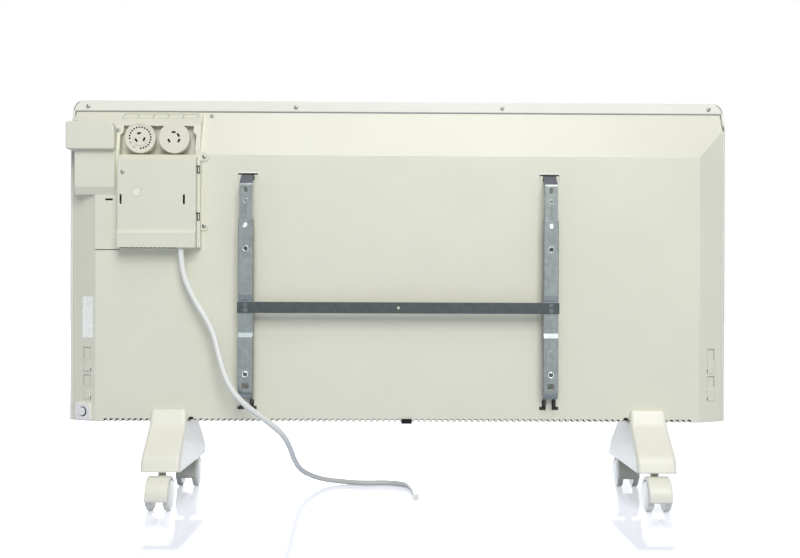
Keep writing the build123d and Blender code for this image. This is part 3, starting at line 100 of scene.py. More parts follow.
class Nodes:
    """A material's node tree, with short calls to add and join nodes."""

    def __init__(self, name):
        self.material = bpy.data.materials.new(name)
        self.material.use_nodes = True
        self.tree = self.material.node_tree
        self.shader = self.tree.nodes["Principled BSDF"]
        self.coords = self.add("ShaderNodeTexCoord")

    def add(self, kind, **values):
        node = self.tree.nodes.new(kind)
        for key, value in values.items():
            setattr(node, key, value)
        return node

    def join(self, out, into):
        self.tree.links.new(out, into)

    def feed(self, value, socket):
        """Joins a node's output to a socket, or sets the socket to a number or a colour."""
        if hasattr(value, "is_linked"):
            self.join(value, socket)
        else:
            socket.default_value = value

    def set(self, **values):
        """Shader inputs by name, with _ for a space; a number, a colour or an output."""
        for key, value in values.items():
            self.feed(value, self.shader.inputs[key.replace("_", " ")])
        return self.material

    def noise(self, scale, detail=3.0, rough=0.5, stretch=None):
        node = self.add("ShaderNodeTexNoise")
        node.inputs["Scale"].default_value = scale
        node.inputs["Detail"].default_value = detail
        node.inputs["Roughness"].default_value = rough
        place = self.coords.outputs["Object"]
        if stretch is not None:
            mapping = self.add("ShaderNodeMapping")
            mapping.inputs["Scale"].default_value = stretch
            self.join(place, mapping.inputs["Vector"])
            place = mapping.outputs["Vector"]
        self.join(place, node.inputs["Vector"])
        return node.outputs["Fac"]

    def cells(self, scale):
        node = self.add("ShaderNodeTexVoronoi")
        node.inputs["Scale"].default_value = scale
        self.join(self.coords.outputs["Object"], node.inputs["Vector"])
        return node

    def ramp(self, fac, low, high):
        """A colour between two stops, each a place from 0 to 1 and its colour."""
        node = self.add("ShaderNodeValToRGB")
        for element, (place, colour) in zip(node.color_ramp.elements, (low, high)):
            element.position = place
            element.color = colour
        self.join(fac, node.inputs["Fac"])
        return node.outputs["Color"]

    def mix(self, fac, a, b):
        """Colour a where fac is 0, and b where it is 1."""
        node = self.add("ShaderNodeMix", data_type="RGBA")
        self.feed(fac, node.inputs["Factor"])
        self.feed(a, node.inputs[6])     # the two colour sockets share their names with others
        self.feed(b, node.inputs[7])
        return node.outputs[2]

    def span(self, fac, low, high):
        """A value from low to high as fac goes from 0 to 1."""
        node = self.add("ShaderNodeMapRange")
        node.inputs["To Min"].default_value = low
        node.inputs["To Max"].default_value = high
        self.join(fac, node.inputs["Value"])
        return node.outputs["Result"]

    def soft_edges(self, radius):
        """Normals as if every sharp edge were rounded by radius."""
        node = self.add("ShaderNodeBevel", samples=4)
        node.inputs["Radius"].default_value = radius
        return node.outputs["Normal"]

    def below_height(self, height):
        """1 below that height in the row frame, 0 above it."""
        split = self.add("ShaderNodeSeparateXYZ")
        self.join(self.coords.outputs["Object"], split.inputs["Vector"])
        node = self.add("ShaderNodeMath", operation="LESS_THAN")
        node.inputs[1].default_value = height
        self.join(split.outputs["Z"], node.inputs[0])
        return node.outputs["Value"]

    def bump(self, fac, distance, strength, under=None):
        """Normals of a relief, laid over other normals where they are given."""
        node = self.add("ShaderNodeBump")
        node.inputs["Distance"].default_value = distance
        node.inputs["Strength"].default_value = strength
        self.join(fac, node.inputs["Height"])
        if under is not None:
            self.join(under, node.inputs["Normal"])
        return node.outputs["Normal"]


def painted(name, colour):
    """Powder coat: a fine orange peel, soft bends and the faintest clouding."""
    rough, peel, edge = 0.36, 0.00004, 0.0020
    m = Nodes(name)
    cloud = m.noise(9.0, detail=4.0)
    base = m.ramp(cloud, (0.30, shade(colour, 0.975)), (0.70, shade(colour, 1.015)))
    skin = m.bump(m.noise(1400.0, detail=2.0), peel, 0.6, m.soft_edges(edge))
    skin = m.bump(m.noise(260.0, detail=2.0), peel * 1.5, 0.5, skin)
    return m.set(
        Base_Color=base, Roughness=m.span(m.noise(500.0), rough - 0.05, rough + 0.05), Normal=skin,
        Coat_Weight=0.4, Coat_Roughness=0.14, Coat_Normal=m.soft_edges(edge),
    )


def moulded(name, colour, rough=0.44, grain=0.00003, edge=0.0006, gloss=0.5):
    """Moulded plastic with a fine matt grain and softened edges."""
    m = Nodes(name)
    base = m.ramp(m.noise(14.0), (0.3, shade(colour, 0.98)), (0.7, shade(colour, 1.01)))
    skin = m.bump(m.noise(2600.0, rough=0.6), grain, 0.7, m.soft_edges(edge))
    return m.set(
        Base_Color=base, Roughness=m.span(m.noise(900.0), rough - 0.06, rough + 0.05), Normal=skin,
        Specular_IOR_Level=gloss,
    )


def galvanised(name, colour, rough=0.30, spangle=160.0, slot_shade_below=None, dark_reflection_from=None):
    """Zinc-coated sheet: soft spangle, rolling lines and dull handling marks.

    It is painted black and dull below the height given for the hooks, as painted shade in the slots they
    sit in, and painted darker above the height given for the tongues, as a painted dark reflection, where
    these are set.
    """
    m = Nodes(name)
    crystals = m.cells(spangle)
    tone = m.ramp(crystals.outputs["Color"], (0.0, shade(colour, 0.84)), (1.0, shade(colour, 1.16)))
    marks = m.noise(38.0, detail=5.0, rough=0.65)
    base = m.mix(m.span(marks, 0.0, 0.45), tone, shade(colour, 0.9))
    lines = m.noise(60.0, stretch=(30.0, 30.0, 1.0))
    skin = m.bump(lines, 0.00003, 0.5, m.soft_edges(0.0008))
    skin = m.bump(crystals.outputs["Distance"], 0.00005, 0.3, skin)
    metal = 1.0
    # painted dark reflection: darker above the given height
    if dark_reflection_from is not None:
        base = m.mix(m.below_height(dark_reflection_from), DARK_REFLECTION_ZINC, base)
    # painted shade: black and not metal below the given height
    if slot_shade_below is not None:
        in_slot_shade = m.below_height(slot_shade_below)
        base = m.mix(in_slot_shade, base, SLOT_SHADE_BLACK)
        metal = m.span(in_slot_shade, 1.0, 0.0)
    return m.set(
        Base_Color=base, Metallic=metal, Roughness=m.span(marks, rough - 0.08, rough + 0.14), Normal=skin,
    )


def bright_zinc(name, colour, rough=0.26):
    """Turned and plated steel, and other bright metal."""
    m = Nodes(name)
    base = m.ramp(m.noise(240.0, detail=4.0), (0.3, shade(colour, 0.88)), (0.7, shade(colour, 1.08)))
    return m.set(
        Base_Color=base, Metallic=1.0, Roughness=m.span(m.noise(700.0), rough - 0.05, rough + 0.10),
        Normal=m.bump(m.noise(1800.0), 0.00002, 0.5),
    )


# the colour of the painted dark reflection on the latches' tongues
DARK_REFLECTION_ZINC = linear(108, 109, 121)
# the black of the painted shade in the slots that the rails' hooks sit in
SLOT_SHADE_BLACK = linear(20, 20, 22)
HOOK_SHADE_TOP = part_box("left_rail")[0].z + 0.0125     # the rails' hooks are painted black below this height: painted shade of the slots they sit in
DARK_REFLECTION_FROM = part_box("left_latch")[1].z - 0.0124   # the latches' tongues are painted dark above this height: a painted dark reflection
materials = {
    "cover_paint": painted("cover_paint", linear(240, 240, 229)),
    "pan_paint": painted("pan_paint", linear(230, 230, 211)),
    "housing_plastic": moulded("housing_plastic", linear(229, 229, 211)),
    "knob_plastic": moulded("knob_plastic", linear(231, 229, 212), 0.40),
    "pin_plastic": moulded("pin_plastic", linear(202, 202, 192), 0.40),
    "sensor_plastic": moulded("sensor_plastic", linear(250, 250, 246), 0.40),
    "foot_plastic": moulded("foot_plastic", linear(243, 242, 228), 0.34, grain=0.00002, edge=0.0030),
    "castor_tread": moulded("castor_tread", linear(251, 251, 240), 0.32, grain=0.00002),
    "castor_steel": bright_zinc("castor_steel", linear(150, 152, 150)),
    "screw_steel": bright_zinc("screw_steel", linear(146, 148, 145), 0.22),
    "zinc_steel": galvanised("zinc_steel", linear(131, 138, 138), slot_shade_below=HOOK_SHADE_TOP, dark_reflection_from=DARK_REFLECTION_FROM),
    "bar_steel": galvanised("bar_steel", linear(76, 82, 83), 0.36, spangle=220.0),
    "foil": bright_zinc("foil", linear(206, 209, 208), 0.3),
    "black_plastic": moulded("black_plastic", linear(22, 22, 23), 0.6, gloss=0.15),
    "cord_sheath": moulded("cord_sheath", linear(240, 242, 236), 0.38, grain=0.00004),
    "grey_plastic": moulded("grey_plastic", linear(150, 152, 152), 0.5),
    "board": moulded("board", linear(44, 104, 60), 0.4),
    "element_aluminium": bright_zinc("element_aluminium", linear(196, 198, 198), 0.36),
    "inner_steel": galvanised("inner_steel", linear(178, 182, 184)),
    "ceramic": moulded("ceramic", linear(228, 220, 204), 0.7, grain=0.00008),
}
# finishes for the parts of a slot that look unlike the rest of it: the rivets' darker zinc, and lighter
# finishes that paint highlights
rivet_finish = galvanised("rivet_finish", linear(98, 106, 108))
# lighter copies of the rails' zinc: painted highlights on the rails' dish, hole rims and groove, and the
# catches' rims
highlight_zinc = bright_zinc("highlight_zinc", linear(232, 235, 235), 0.22)
soft_highlight_zinc = bright_zinc("soft_highlight_zinc", linear(182, 188, 189), 0.34)
# a white that paints highlights on lips and straps; it is also the sensor button's own white face
highlight_and_button_white = moulded("highlight_and_button_white", linear(255, 255, 251), 0.40)

slot_of = {entry["node"]: entry["material_slot"] for entry in frame["record"]["subparts"]}
for name, node in nodes.items():
    node.data.materials.clear()
    node.data.materials.append(rivet_finish if name == "bracket_rivets" else materials[slot_of[name]])


# ---------------------------------------------------------------- building pieces
def as_mesh(bm, name):
    """A mesh of what bm holds, with its faces turned outward; bm is freed."""
    bmesh.ops.recalc_face_normals(bm, faces=bm.faces)
    mesh = bpy.data.meshes.new(name)
    bm.to_mesh(mesh)
    bm.free()
    return mesh


def add_object(name, data, slot, body, finish=None):
    """A piece that rides on a body, in its slot's material or in a finish of its own."""
    piece = bpy.data.objects.new(name, data)
    scene.collection.objects.link(piece)
    data.materials.append(finish or materials[slot])
    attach(piece, body)
    return piece


def add_piece(name, bm, slot, body, sharp=40.0, finish=None):
    """A mesh piece that is shaded smooth, except at edges sharper than so many degrees."""
    mesh = as_mesh(bm, name)
    mesh.shade_smooth()
    mesh.set_sharp_from_angle(angle=math.radians(sharp))
    return add_object(name, mesh, slot, body, finish)


def ridge(name, points, radius, slot, body, closed=False, finish=None):
    """A round bead along points, joined end to end when closed."""
    data = bpy.data.curves.new(name, "CURVE")
    data.dimensions = "3D"
    line = data.splines.new("POLY")
    line.points.add(len(points) - 1)
    for point, place in zip(line.points, points):
        point.co = (*place, 1.0)
    line.use_cyclic_u = closed
    data.bevel_depth = radius
    data.bevel_resolution = 3
    data.use_fill_caps = True
    add_object(name, data, slot, body, finish)


def facing(place, normal):
    """Matrix that puts local z along normal, at place."""
    return Matrix.Translation(place) @ Vector(normal).to_track_quat("Z", "Y").to_matrix().to_4x4()


def turned(bm, profile, matrix, steps=32):
    """Turns a profile of (radius, height) about the local z axis into bm; radius 0 closes an end."""
    rings = []
    for radius, height in profile:
        if radius == 0:
            spots = [(0, 0, height)]
        else:
            turns = [2 * math.pi * i / steps for i in range(steps)]
            spots = [(radius * math.cos(t), radius * math.sin(t), height) for t in turns]
        rings.append([bm.verts.new(matrix @ Vector(spot)) for spot in spots])
    for low, high in zip(rings, rings[1:]):
        for i in range(steps):
            j = (i + 1) % steps
            if len(low) == 1:
                bm.faces.new((low[0], high[i], high[j]))
            elif len(high) == 1:
                bm.faces.new((low[i], low[j], high[0]))
            else:
                bm.faces.new((low[i], low[j], high[j], high[i]))


def disc(bm, centre, radius, thick, normal=WALLWARD, steps=64):
    """A thin disc in bm, with its face at centre."""
    turned(bm, [(0, 0), (radius, 0), (radius, -thick), (0, -thick)], facing(centre, normal), steps)


def block(bm, low, high, matrix=Matrix()):
    """A box between two corners, in bm."""
    spots = [(x, y, z) for x in (low[0], high[0]) for y in (low[1], high[1]) for z in (low[2], high[2])]
    v = [bm.verts.new(matrix @ Vector(spot)) for spot in spots]
    for face in ((0, 1, 3, 2), (4, 6, 7, 5), (0, 4, 5, 1), (2, 3, 7, 6), (0, 2, 6, 4), (1, 5, 7, 3)):
        bm.faces.new([v[i] for i in face])


def ring_points(centre, radius, stretch=0.0, steps=40):
    """Points round an upright circle, or round a slot that is longer than the circle by stretch."""
    out = []
    for i in range(steps):
        turn = 2 * math.pi * i / steps
        shift = stretch / 2 if math.sin(turn) > 0 else -stretch / 2
        out.append(Vector(centre) + Vector((radius * math.cos(turn), 0, radius * math.sin(turn) + shift)))
    return out


def middle(node):
    """The middle of a CAD node across and in height."""
    low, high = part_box(node)
    return (low.x + high.x) / 2, (low.z + high.z) / 2


# ---------------------------------------------------------------- screws
HEAD_RADIUS, HEAD_HEIGHT = 0.0028, 0.0016
SHANK_RADIUS, SHANK_LENGTH = 0.0014, 0.004
FOOT_HEAD_RADIUS, FOOT_HEAD_HEIGHT = 0.0045, 0.0032
FOOT_SHANK_RADIUS, FOOT_SHANK_LENGTH = 0.0023, 0.010
SHANK_POINT = 0.0006
HEAD_EDGE = 0.35                         # how high the dome starts, as a share of the head's height
DOME_TURNS = (0, 20, 40, 60, 78)         # degrees up the dome
RECESS_LENGTH, RECESS_WIDTH = 0.62, 0.13     # half sizes of the cross's arms, in the head's radii
RECESS_FLOOR, RECESS_TOP = 0.35, 2.0     # heights of its cutter, as shares of the head's
RECESS_TURN = 0.4                        # radians
SCREW_TURN = 0.9                         # radians that each screw is turned further than the last
SCREW_SHARP = 35.0                       # degrees


def cross_head(radius, height, shank_radius, reach):
    """One pan-head screw along +z with a cross recess, its seat at z = 0."""
    bm = bmesh.new()
    shank = [(0, -reach), (shank_radius, -reach + SHANK_POINT), (shank_radius, 0), (radius, 0)]
    dome = []
    for degrees in DOME_TURNS:
        turn = math.radians(degrees)
        dome.append((radius * math.cos(turn), height * (HEAD_EDGE + (1 - HEAD_EDGE) * math.sin(turn))))
    turned(bm, shank + dome + [(0, height)], Matrix())
    head = as_mesh(bm, "screw")
    bm = bmesh.new()
    low = (-RECESS_LENGTH * radius, -RECESS_WIDTH * radius, RECESS_FLOOR * height)
    high = (RECESS_LENGTH * radius, RECESS_WIDTH * radius, RECESS_TOP * height)
    for turn in (0, math.pi / 2):
        block(bm, low, high, Matrix.Rotation(turn + RECESS_TURN, 4, "Z"))
    recess = as_mesh(bm, "recess")
    body = bpy.data.objects.new("screw", head)
    cutter = bpy.data.objects.new("recess", recess)
    for thing in (body, cutter):
        scene.collection.objects.link(thing)
    cut = body.modifiers.new("recess", "BOOLEAN")
    cut.object = cutter
    cut.operation = "DIFFERENCE"
    cut.solver = "EXACT"
    cut.use_self = True
    mesh = bpy.data.meshes.new_from_object(body.evaluated_get(bpy.context.evaluated_depsgraph_get()))
    for thing in (body, cutter):
        bpy.data.objects.remove(thing)
    return mesh


def add_copy(bm, mesh, matrix):
    """Adds a copy of a mesh to bm, moved by a matrix."""
    copy = mesh.copy()
    copy.transform(matrix)
    bm.from_mesh(copy)
    bpy.data.meshes.remove(copy)


def loose_boxes(node):
    """Lowest and highest corner of each separate solid of a CAD node, in the row frame."""
    bm = bmesh.new()
    bm.from_mesh(nodes[node].data)
    bmesh.ops.remove_doubles(bm, verts=bm.verts, dist=1e-6)
    left = set(bm.verts)
    boxes = []
    while left:
        stack = [left.pop()]
        group = list(stack)
        while stack:
            for edge in stack.pop().link_edges:
                for vert in edge.verts:
                    if vert in left:
                        left.remove(vert)
                        stack.append(vert)
                        group.append(vert)
        low = Vector([min(v.co[i] for v in group) for i in range(3)])
        high = Vector([max(v.co[i] for v in group) for i in range(3)])
        boxes.append((low, high))
    bm.free()
    return sorted(boxes, key=lambda pair: tuple(round(value, 4) for value in pair[0]))


def replace_screws(node, head, height, normal):
    """Crossed screws in place of a CAD node's plain ones, whose heads' faces look along normal."""
    bm = bmesh.new()
    for count, (low, high) in enumerate(loose_boxes(node)):
        centre = (low + high) / 2
        reach = (high - low) / 2
        face = centre + Vector([reach[i] * normal[i] for i in range(3)])
        seat = face - Vector(normal) * height
        add_copy(bm, head, facing(seat, normal) @ Matrix.Rotation(SCREW_TURN * count, 4, "Z"))
    piece = add_piece(f"{node}_crossed", bm, "screw_steel", "heater", SCREW_SHARP)
    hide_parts(node)


def dress_screws():
    small = cross_head(HEAD_RADIUS, HEAD_HEIGHT, SHANK_RADIUS, SHANK_LENGTH)
    for node in ("rim_screws", "housing_screws", "cover_screw"):
        replace_screws(node, small, HEAD_HEIGHT, WALLWARD)
    large = cross_head(FOOT_HEAD_RADIUS, FOOT_HEAD_HEIGHT, FOOT_SHANK_RADIUS, FOOT_SHANK_LENGTH)
    replace_screws("foot_screws", large, FOOT_HEAD_HEIGHT, (0, 0, -1))


dress_screws()


# ---------------------------------------------------------------- dials
FACE_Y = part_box("thermostat_wheel")[1].y
RING_Y = FACE_Y - 0.0008                 # bottom of the sunk ring that the limit holes are in
SLOT_SHADE_RADIUS, SLOT_SHADE_DEPTH, SLOT_SHADE_THICK = 0.0101, 0.0002, 0.0004
LIMIT_RADIUS = 0.0144                    # of the circle of limit holes
LIMIT_COUNT, LIMIT_STEP, LIMIT_FIRST = 19, 15.0, -4.0    # holes, the degrees between them, and the first's
LIMIT_SHADE_RADIUS, LIMIT_SHADE_LIFT, LIMIT_SHADE_THICK = 0.00125, 0.00003, 0.0006
CENTRE_PROFILE = ((0.0012, -0.0001), (0.0011, 0.00008), (0, 0.00012))    # radius, height


def dress_dials():
    """Black discs of painted shade behind each dial's slots and over its limit holes, and the thermostat's
    centre mark.
    """
    for node, body in (("thermostat_wheel", "thermostat_knob"), ("mode_wheel", "mode_knob")):
        x, z = middle(node)
        bm = bmesh.new()
        disc(bm, (x, FACE_Y - SLOT_SHADE_DEPTH, z), SLOT_SHADE_RADIUS, SLOT_SHADE_THICK)
        if node == "thermostat_wheel":
            for i in range(LIMIT_COUNT):
                turn = math.radians(LIMIT_FIRST + LIMIT_STEP * i)
                across, up = LIMIT_RADIUS * math.cos(turn), LIMIT_RADIUS * math.sin(turn)
                place = (x + across, RING_Y + LIMIT_SHADE_LIFT, z + up)
                disc(bm, place, LIMIT_SHADE_RADIUS, LIMIT_SHADE_THICK, steps=20)
        add_piece(f"{node}_dark", bm, "black_plastic", body)
    x, z = middle("thermostat_wheel")
    bm = bmesh.new()
    turned(bm, CENTRE_PROFILE, facing((x, FACE_Y, z), WALLWARD))
    add_piece("thermostat_centre_mark", bm, "pin_plastic", "thermostat_knob")


dress_dials()


# ---------------------------------------------------------------- bracket
DISH_Z, DISH_RADIUS, DISH_DEPTH, DISH_LIFT = 0.376, 0.0038, 0.0006, 0.00006
DISH_TURN, DISH_STEPS = 1.0, 8           # radians of the dish's curve, and its steps
HOLE_RIM_RADIUS = 0.0036
HOLE_RIMS = (("upper", 0.344, 0.0004), ("lower", 0.1755, 0.0006))    # height and bead of each
RIM_SINK = 0.0001
GROOVE_Z, GROOVE_RADIUS, GROOVE_STRETCH, GROOVE_BEAD = 0.193, 0.0040, 0.022, 0.00025
LATCH_SINK = 0.0015                      # the latch's strip lies this far under the rail's face
LATCH_RING_Z, LATCH_RING_RADIUS, LATCH_RING_BEAD = 0.408, 0.0030, 0.00035
WINDOW_Z, WINDOW_RADIUS, WINDOW_STRETCH, WINDOW_BEAD = 0.423, 0.0033, 0.003, 0.0003
CHEEK_INNER, CHEEK_OUTER = 0.0088, 0.0132    # off the rail's middle
CHEEK_LOW, CHEEK_HIGH, CHEEK_THICK, CHEEK_SINK = 0.4378, 0.4450, 0.0010, 0.0001
LIP_Z, LIP_BEAD, LIP_LIFT = 0.4478, 0.0008, 0.0002
LIP_LINE = ((-0.0140, 0.0012), (-0.0132, 0.0002), (0.0132, 0.0002), (0.0140, 0.0012))    # across, drop
DISH_SHARP = 60.0


def dish_profile():
    """(radius, height) up a shallow pressed dish, from its deepest point to its edge."""
    out = []
    for i in range(DISH_STEPS + 1):
        turn = DISH_TURN * i / DISH_STEPS
        radius = DISH_RADIUS * math.sin(turn) / math.sin(DISH_TURN)
        depth = DISH_DEPTH * (math.cos(turn) - math.cos(DISH_TURN)) / (1 - math.cos(DISH_TURN))
        out.append((radius, DISH_LIFT - depth))
    return out


def dress_rail(side, x, face_y):
    """A pressed dish, the rims of two wall holes and the edge of the shallow groove, on one rail; lighter
    zinc paints their highlights.
    """
    bm = bmesh.new()
    turned(bm, dish_profile(), facing((x, face_y, DISH_Z), WALLWARD))
    add_piece(f"{side}_rail_dish", bm, "zinc_steel", "wall_bracket", DISH_SHARP, highlight_zinc)
    for name, z, bead in HOLE_RIMS:
        rim = ring_points((x, face_y - RIM_SINK, z), HOLE_RIM_RADIUS)
        ridge(f"{side}_rail_{name}_rim", rim, bead, "zinc_steel", "wall_bracket", True, highlight_zinc)
    groove = ring_points((x, face_y - RIM_SINK, GROOVE_Z), GROOVE_RADIUS, GROOVE_STRETCH)
    ridge(f"{side}_rail_groove", groove, GROOVE_BEAD, "zinc_steel", "wall_bracket", True, soft_highlight_zinc)


def dress_latch(side, x, strip_y):
    """Rims round the mark and the window in one catch's strip; lighter zinc paints their highlights."""
    ring = ring_points((x, strip_y, LATCH_RING_Z), LATCH_RING_RADIUS)
    ridge(f"{side}_latch_ring", ring, LATCH_RING_BEAD, "zinc_steel", f"{side}_catch", True, soft_highlight_zinc)
    window = ring_points((x, strip_y, WINDOW_Z), WINDOW_RADIUS, WINDOW_STRETCH)
    ridge(f"{side}_latch_window", window, WINDOW_BEAD, "zinc_steel", f"{side}_catch", True, soft_highlight_zinc)


def dress_slot(side, x, pan_y):
    """Cheeks beside the tongue in one of the pan's upper slots, and a turned lip above it in a white that
    paints its highlight.
    """
    bm = bmesh.new()
    for hand in (-1, 1):
        inner, outer = sorted((x + hand * CHEEK_INNER, x + hand * CHEEK_OUTER))
        block(bm, (inner, pan_y - CHEEK_THICK, CHEEK_LOW), (outer, pan_y - CHEEK_SINK, CHEEK_HIGH))
    add_piece(f"{side}_slot_cheeks", bm, "pan_paint", "heater")
    lip = [(x + across, pan_y + LIP_LIFT, LIP_Z - drop) for across, drop in LIP_LINE]
    ridge(f"{side}_slot_lip", lip, LIP_BEAD, "pan_paint", "heater", finish=highlight_and_button_white)


for side in ("left", "right"):
    rail_x = middle(f"{side}_rail")[0]
    rail_face_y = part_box(f"{side}_rail")[1].y
    dress_rail(side, rail_x, rail_face_y)
    dress_latch(side, rail_x, rail_face_y - LATCH_SINK)
    dress_slot(side, rail_x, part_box("back_panel")[1].y)


# ---------------------------------------------------------------- the panel's edges
RIM_Y, EDGE_Y = 0.010, 0.021             # the rim's face, and the rear edges of the cover's sides
# a grey strip of painted shade in the gap under the rim
STRIP_HALF, STRIP_SINK, STRIP_THICK = 0.4465, 0.0002, 0.0008
STRIP_LOW, STRIP_HIGH = 0.53475, 0.53620
HEM_INNER, HEM_OUTER = 0.4467, 0.4490
HEM_SINK, HEM_THICK = 0.0008, 0.0008
HEM_FOOT, HEM_KNEE, HEM_SLANT_LENGTH = 0.1105, 0.5062, 0.0250
HEM_SLANT = math.radians(26.1)           # above the knee the hem leans away from the wall
CORNER_X, CORNER_Z, CORNER_RADIUS = 0.436, 0.536, 0.014
# a black bead of painted shade in the seam where the rim laps round each top corner
LAP_SET_IN, LAP_LIFT, LAP_BEAD = 0.0012, 0.00005, 0.00032
LAP_TURN, LAP_STEPS = 66.0, 14           # degrees of the corner that the lap runs round


def dress_panel():
    """A grey strip of painted shade in the gap under the rim, the cover's hems beside the pan, and black
    beads of painted shade in the seams where the rim laps round its corners.
    """
    bm = bmesh.new()
    strip_y = RIM_Y - STRIP_SINK
    block(bm, (-STRIP_HALF, strip_y - STRIP_THICK, STRIP_LOW), (STRIP_HALF, strip_y, STRIP_HIGH))
    add_piece("rim_gap_shade", bm, "grey_plastic", "heater")
    for side, hand in (("left", 1), ("right", -1)):
        inner, outer = sorted((hand * HEM_INNER, hand * HEM_OUTER))
        hem_y = EDGE_Y - HEM_SINK
        bm = bmesh.new()
        block(bm, (inner, hem_y - HEM_THICK, HEM_FOOT), (outer, hem_y, HEM_KNEE))
        slant = Matrix.Translation((0, hem_y, HEM_KNEE)) @ Matrix.Rotation(HEM_SLANT, 4, "X")
        block(bm, (inner, -HEM_THICK, 0.0), (outer, 0.0, HEM_SLANT_LENGTH), slant)
        add_piece(f"{side}_hem_fold", bm, "cover_paint", "heater")
        lap_radius = CORNER_RADIUS - LAP_SET_IN
        lap = []
        for i in range(LAP_STEPS + 1):
            turn = math.radians(LAP_TURN * i / LAP_STEPS)
            across, up = lap_radius * math.cos(turn), lap_radius * math.sin(turn)
            lap.append((hand * (CORNER_X + across), RIM_Y + LAP_LIFT, CORNER_Z + up))
        ridge(f"{side}_rim_seam_shade", lap, LAP_BEAD, "black_plastic", "heater")


dress_panel()


# ---------------------------------------------------------------- housing
LEDGE_REACH, LEDGE_GAP = 0.0046, 0.0003      # off the junction cover's side
LEDGE_RISE, LEDGE_FOOT, LEDGE_HEAD = 0.0080, 0.0008, 0.004
SNAP_ZS, SNAP_HALF, SNAP_WALL = (0.3870, 0.4505), 0.0055, 0.0005
TONGUE_OUTER, TONGUE_INNER, TONGUE_SINK, TONGUE_SET_IN = 0.0016, 0.0011, 0.0004, 0.0017
WELL_SINK = 0.0008
MARK_PROFILE = ((0.0058, 0.0), (0.0056, 0.00018), (0.0030, 0.00026), (0, 0.00028))    # radius, height
MARK_Z, MARK_SET_IN, MARK_SINK = 0.419, 0.026, 0.0040
BROW_Y, BROW_Z, BROW_SLOPE = 0.01582, 0.529, 0.73 / 0.68    # a point on the brow's face, and its slope
BROW_FIRST, BROW_PITCH, BROW_COUNT = 0.2765, 0.0205, 6      # the bars between its shallow windows
BAR_LINE = ((-0.0006, 0.5310), (0.0008, 0.5236))            # a bar's ends: across, and height
BAR_LIFT, BAR_BEAD = 0.00004, 0.00034
SILL_XS, SILL_Z, SILL_BEAD = (0.2770, 0.3796), 0.5236, 0.00026
BROW_SCREW_RADIUS = 0.9 * HEAD_RADIUS
# seat and normal of each
BROW_SCREWS = (((0.3816, 0.0343, 0.5052), (0, 0.97, 0.26)), ((0.2588, 0.0120, 0.5284), (0, 0.9, 0.44)))


def dress_ledge():
    """A ledge beside the junction cover with two snap windows, each with a tongue over a black block of
    painted shade in its well.
    """
    low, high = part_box("junction_cover")
    outer_x, inner_x = low.x - LEDGE_REACH, low.x - LEDGE_GAP
    top_y = low.y + LEDGE_RISE
    ledge, wells = bmesh.new(), bmesh.new()
    edges = [low.z + LEDGE_FOOT]
    for z in SNAP_ZS:
        edges += [z - SNAP_HALF, z + SNAP_HALF]
    edges.append(high.z - LEDGE_HEAD)
    for bottom, top in zip(edges[::2], edges[1::2]):
        block(ledge, (outer_x, low.y, bottom), (inner_x, top_y, top))
    for z in SNAP_ZS:
        bottom, top = z - SNAP_HALF, z + SNAP_HALF
        wall_x = outer_x + SNAP_WALL
        block(ledge, (outer_x, low.y, bottom), (wall_x, top_y, top))
        block(ledge, (outer_x + TONGUE_OUTER, low.y, bottom + TONGUE_SET_IN),
              (inner_x - TONGUE_INNER, top_y - TONGUE_SINK, top - TONGUE_SET_IN))
        block(wells, (wall_x, low.y, bottom), (inner_x, top_y - WELL_SINK, top))
    add_piece("cover_ledge", ledge, "housing_plastic", "heater")
    add_piece("ledge_wells", wells, "black_plastic", "heater")


def dress_mark():
    """The round mark in the junction cover's face."""
    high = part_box("junction_cover")[1]
    bm = bmesh.new()
    turned(bm, MARK_PROFILE, facing((high.x - MARK_SET_IN, high.y - MARK_SINK, MARK_Z), WALLWARD), 48)
    add_piece("inspection_mark", bm, "foot_plastic", "heater")


def brow_y(z):
    """The brow's sloping face above the dials."""
    return BROW_Y + (BROW_Z - z) * BROW_SLOPE


def dress_brow():
    """A shade line at each of the brow's bars, one under its windows, and a screw at each side of it."""
    for i in range(BROW_COUNT):
        x = BROW_FIRST + BROW_PITCH * i
        bar = [(x + across, brow_y(z) + BAR_LIFT, z) for across, z in BAR_LINE]
        ridge(f"brow_bar_{i}", bar, BAR_BEAD, "pin_plastic", "heater", finish=materials["grey_plastic"])
    sill = [(x, brow_y(SILL_Z), SILL_Z) for x in SILL_XS]
    ridge("brow_sill", sill, SILL_BEAD, "pin_plastic", "heater")
    small = cross_head(BROW_SCREW_RADIUS, HEAD_HEIGHT, SHANK_RADIUS, SHANK_LENGTH)
    bm = bmesh.new()
    for place, normal in BROW_SCREWS:
        add_copy(bm, small, facing(place, normal))
    add_piece("brow_screws", bm, "screw_steel", "heater", SCREW_SHARP)


dress_ledge()
dress_mark()
dress_brow()


# ---------------------------------------------------------------- junction cover
COVER_FACE_Y = 0.0581
KEY_SLOTS = (("left", 0.3729), ("right", 0.2883))
KEY_LIP_Z, KEY_LIP_RADIUS, KEY_LIP_BEAD = 0.4038, 0.0022, 0.0006
KEY_LIP_STEPS = 12                       # in the lower half of a circle
VENT_FIRST, VENT_PITCH, VENT_COUNT = 0.2990, 0.0063, 12
VENT_LOW, VENT_SIZE = (0.0560, 0.3440), (0.0045, 0.0040, 0.0010)    # y and z of a corner; sizes
# a black bead of painted shade along the seam under the housing's lower edge
SEAM_XS, SEAM_Y, SEAM_Z, SEAM_BEAD = (0.3785, 0.4110), 0.0403, 0.3426, 0.00035


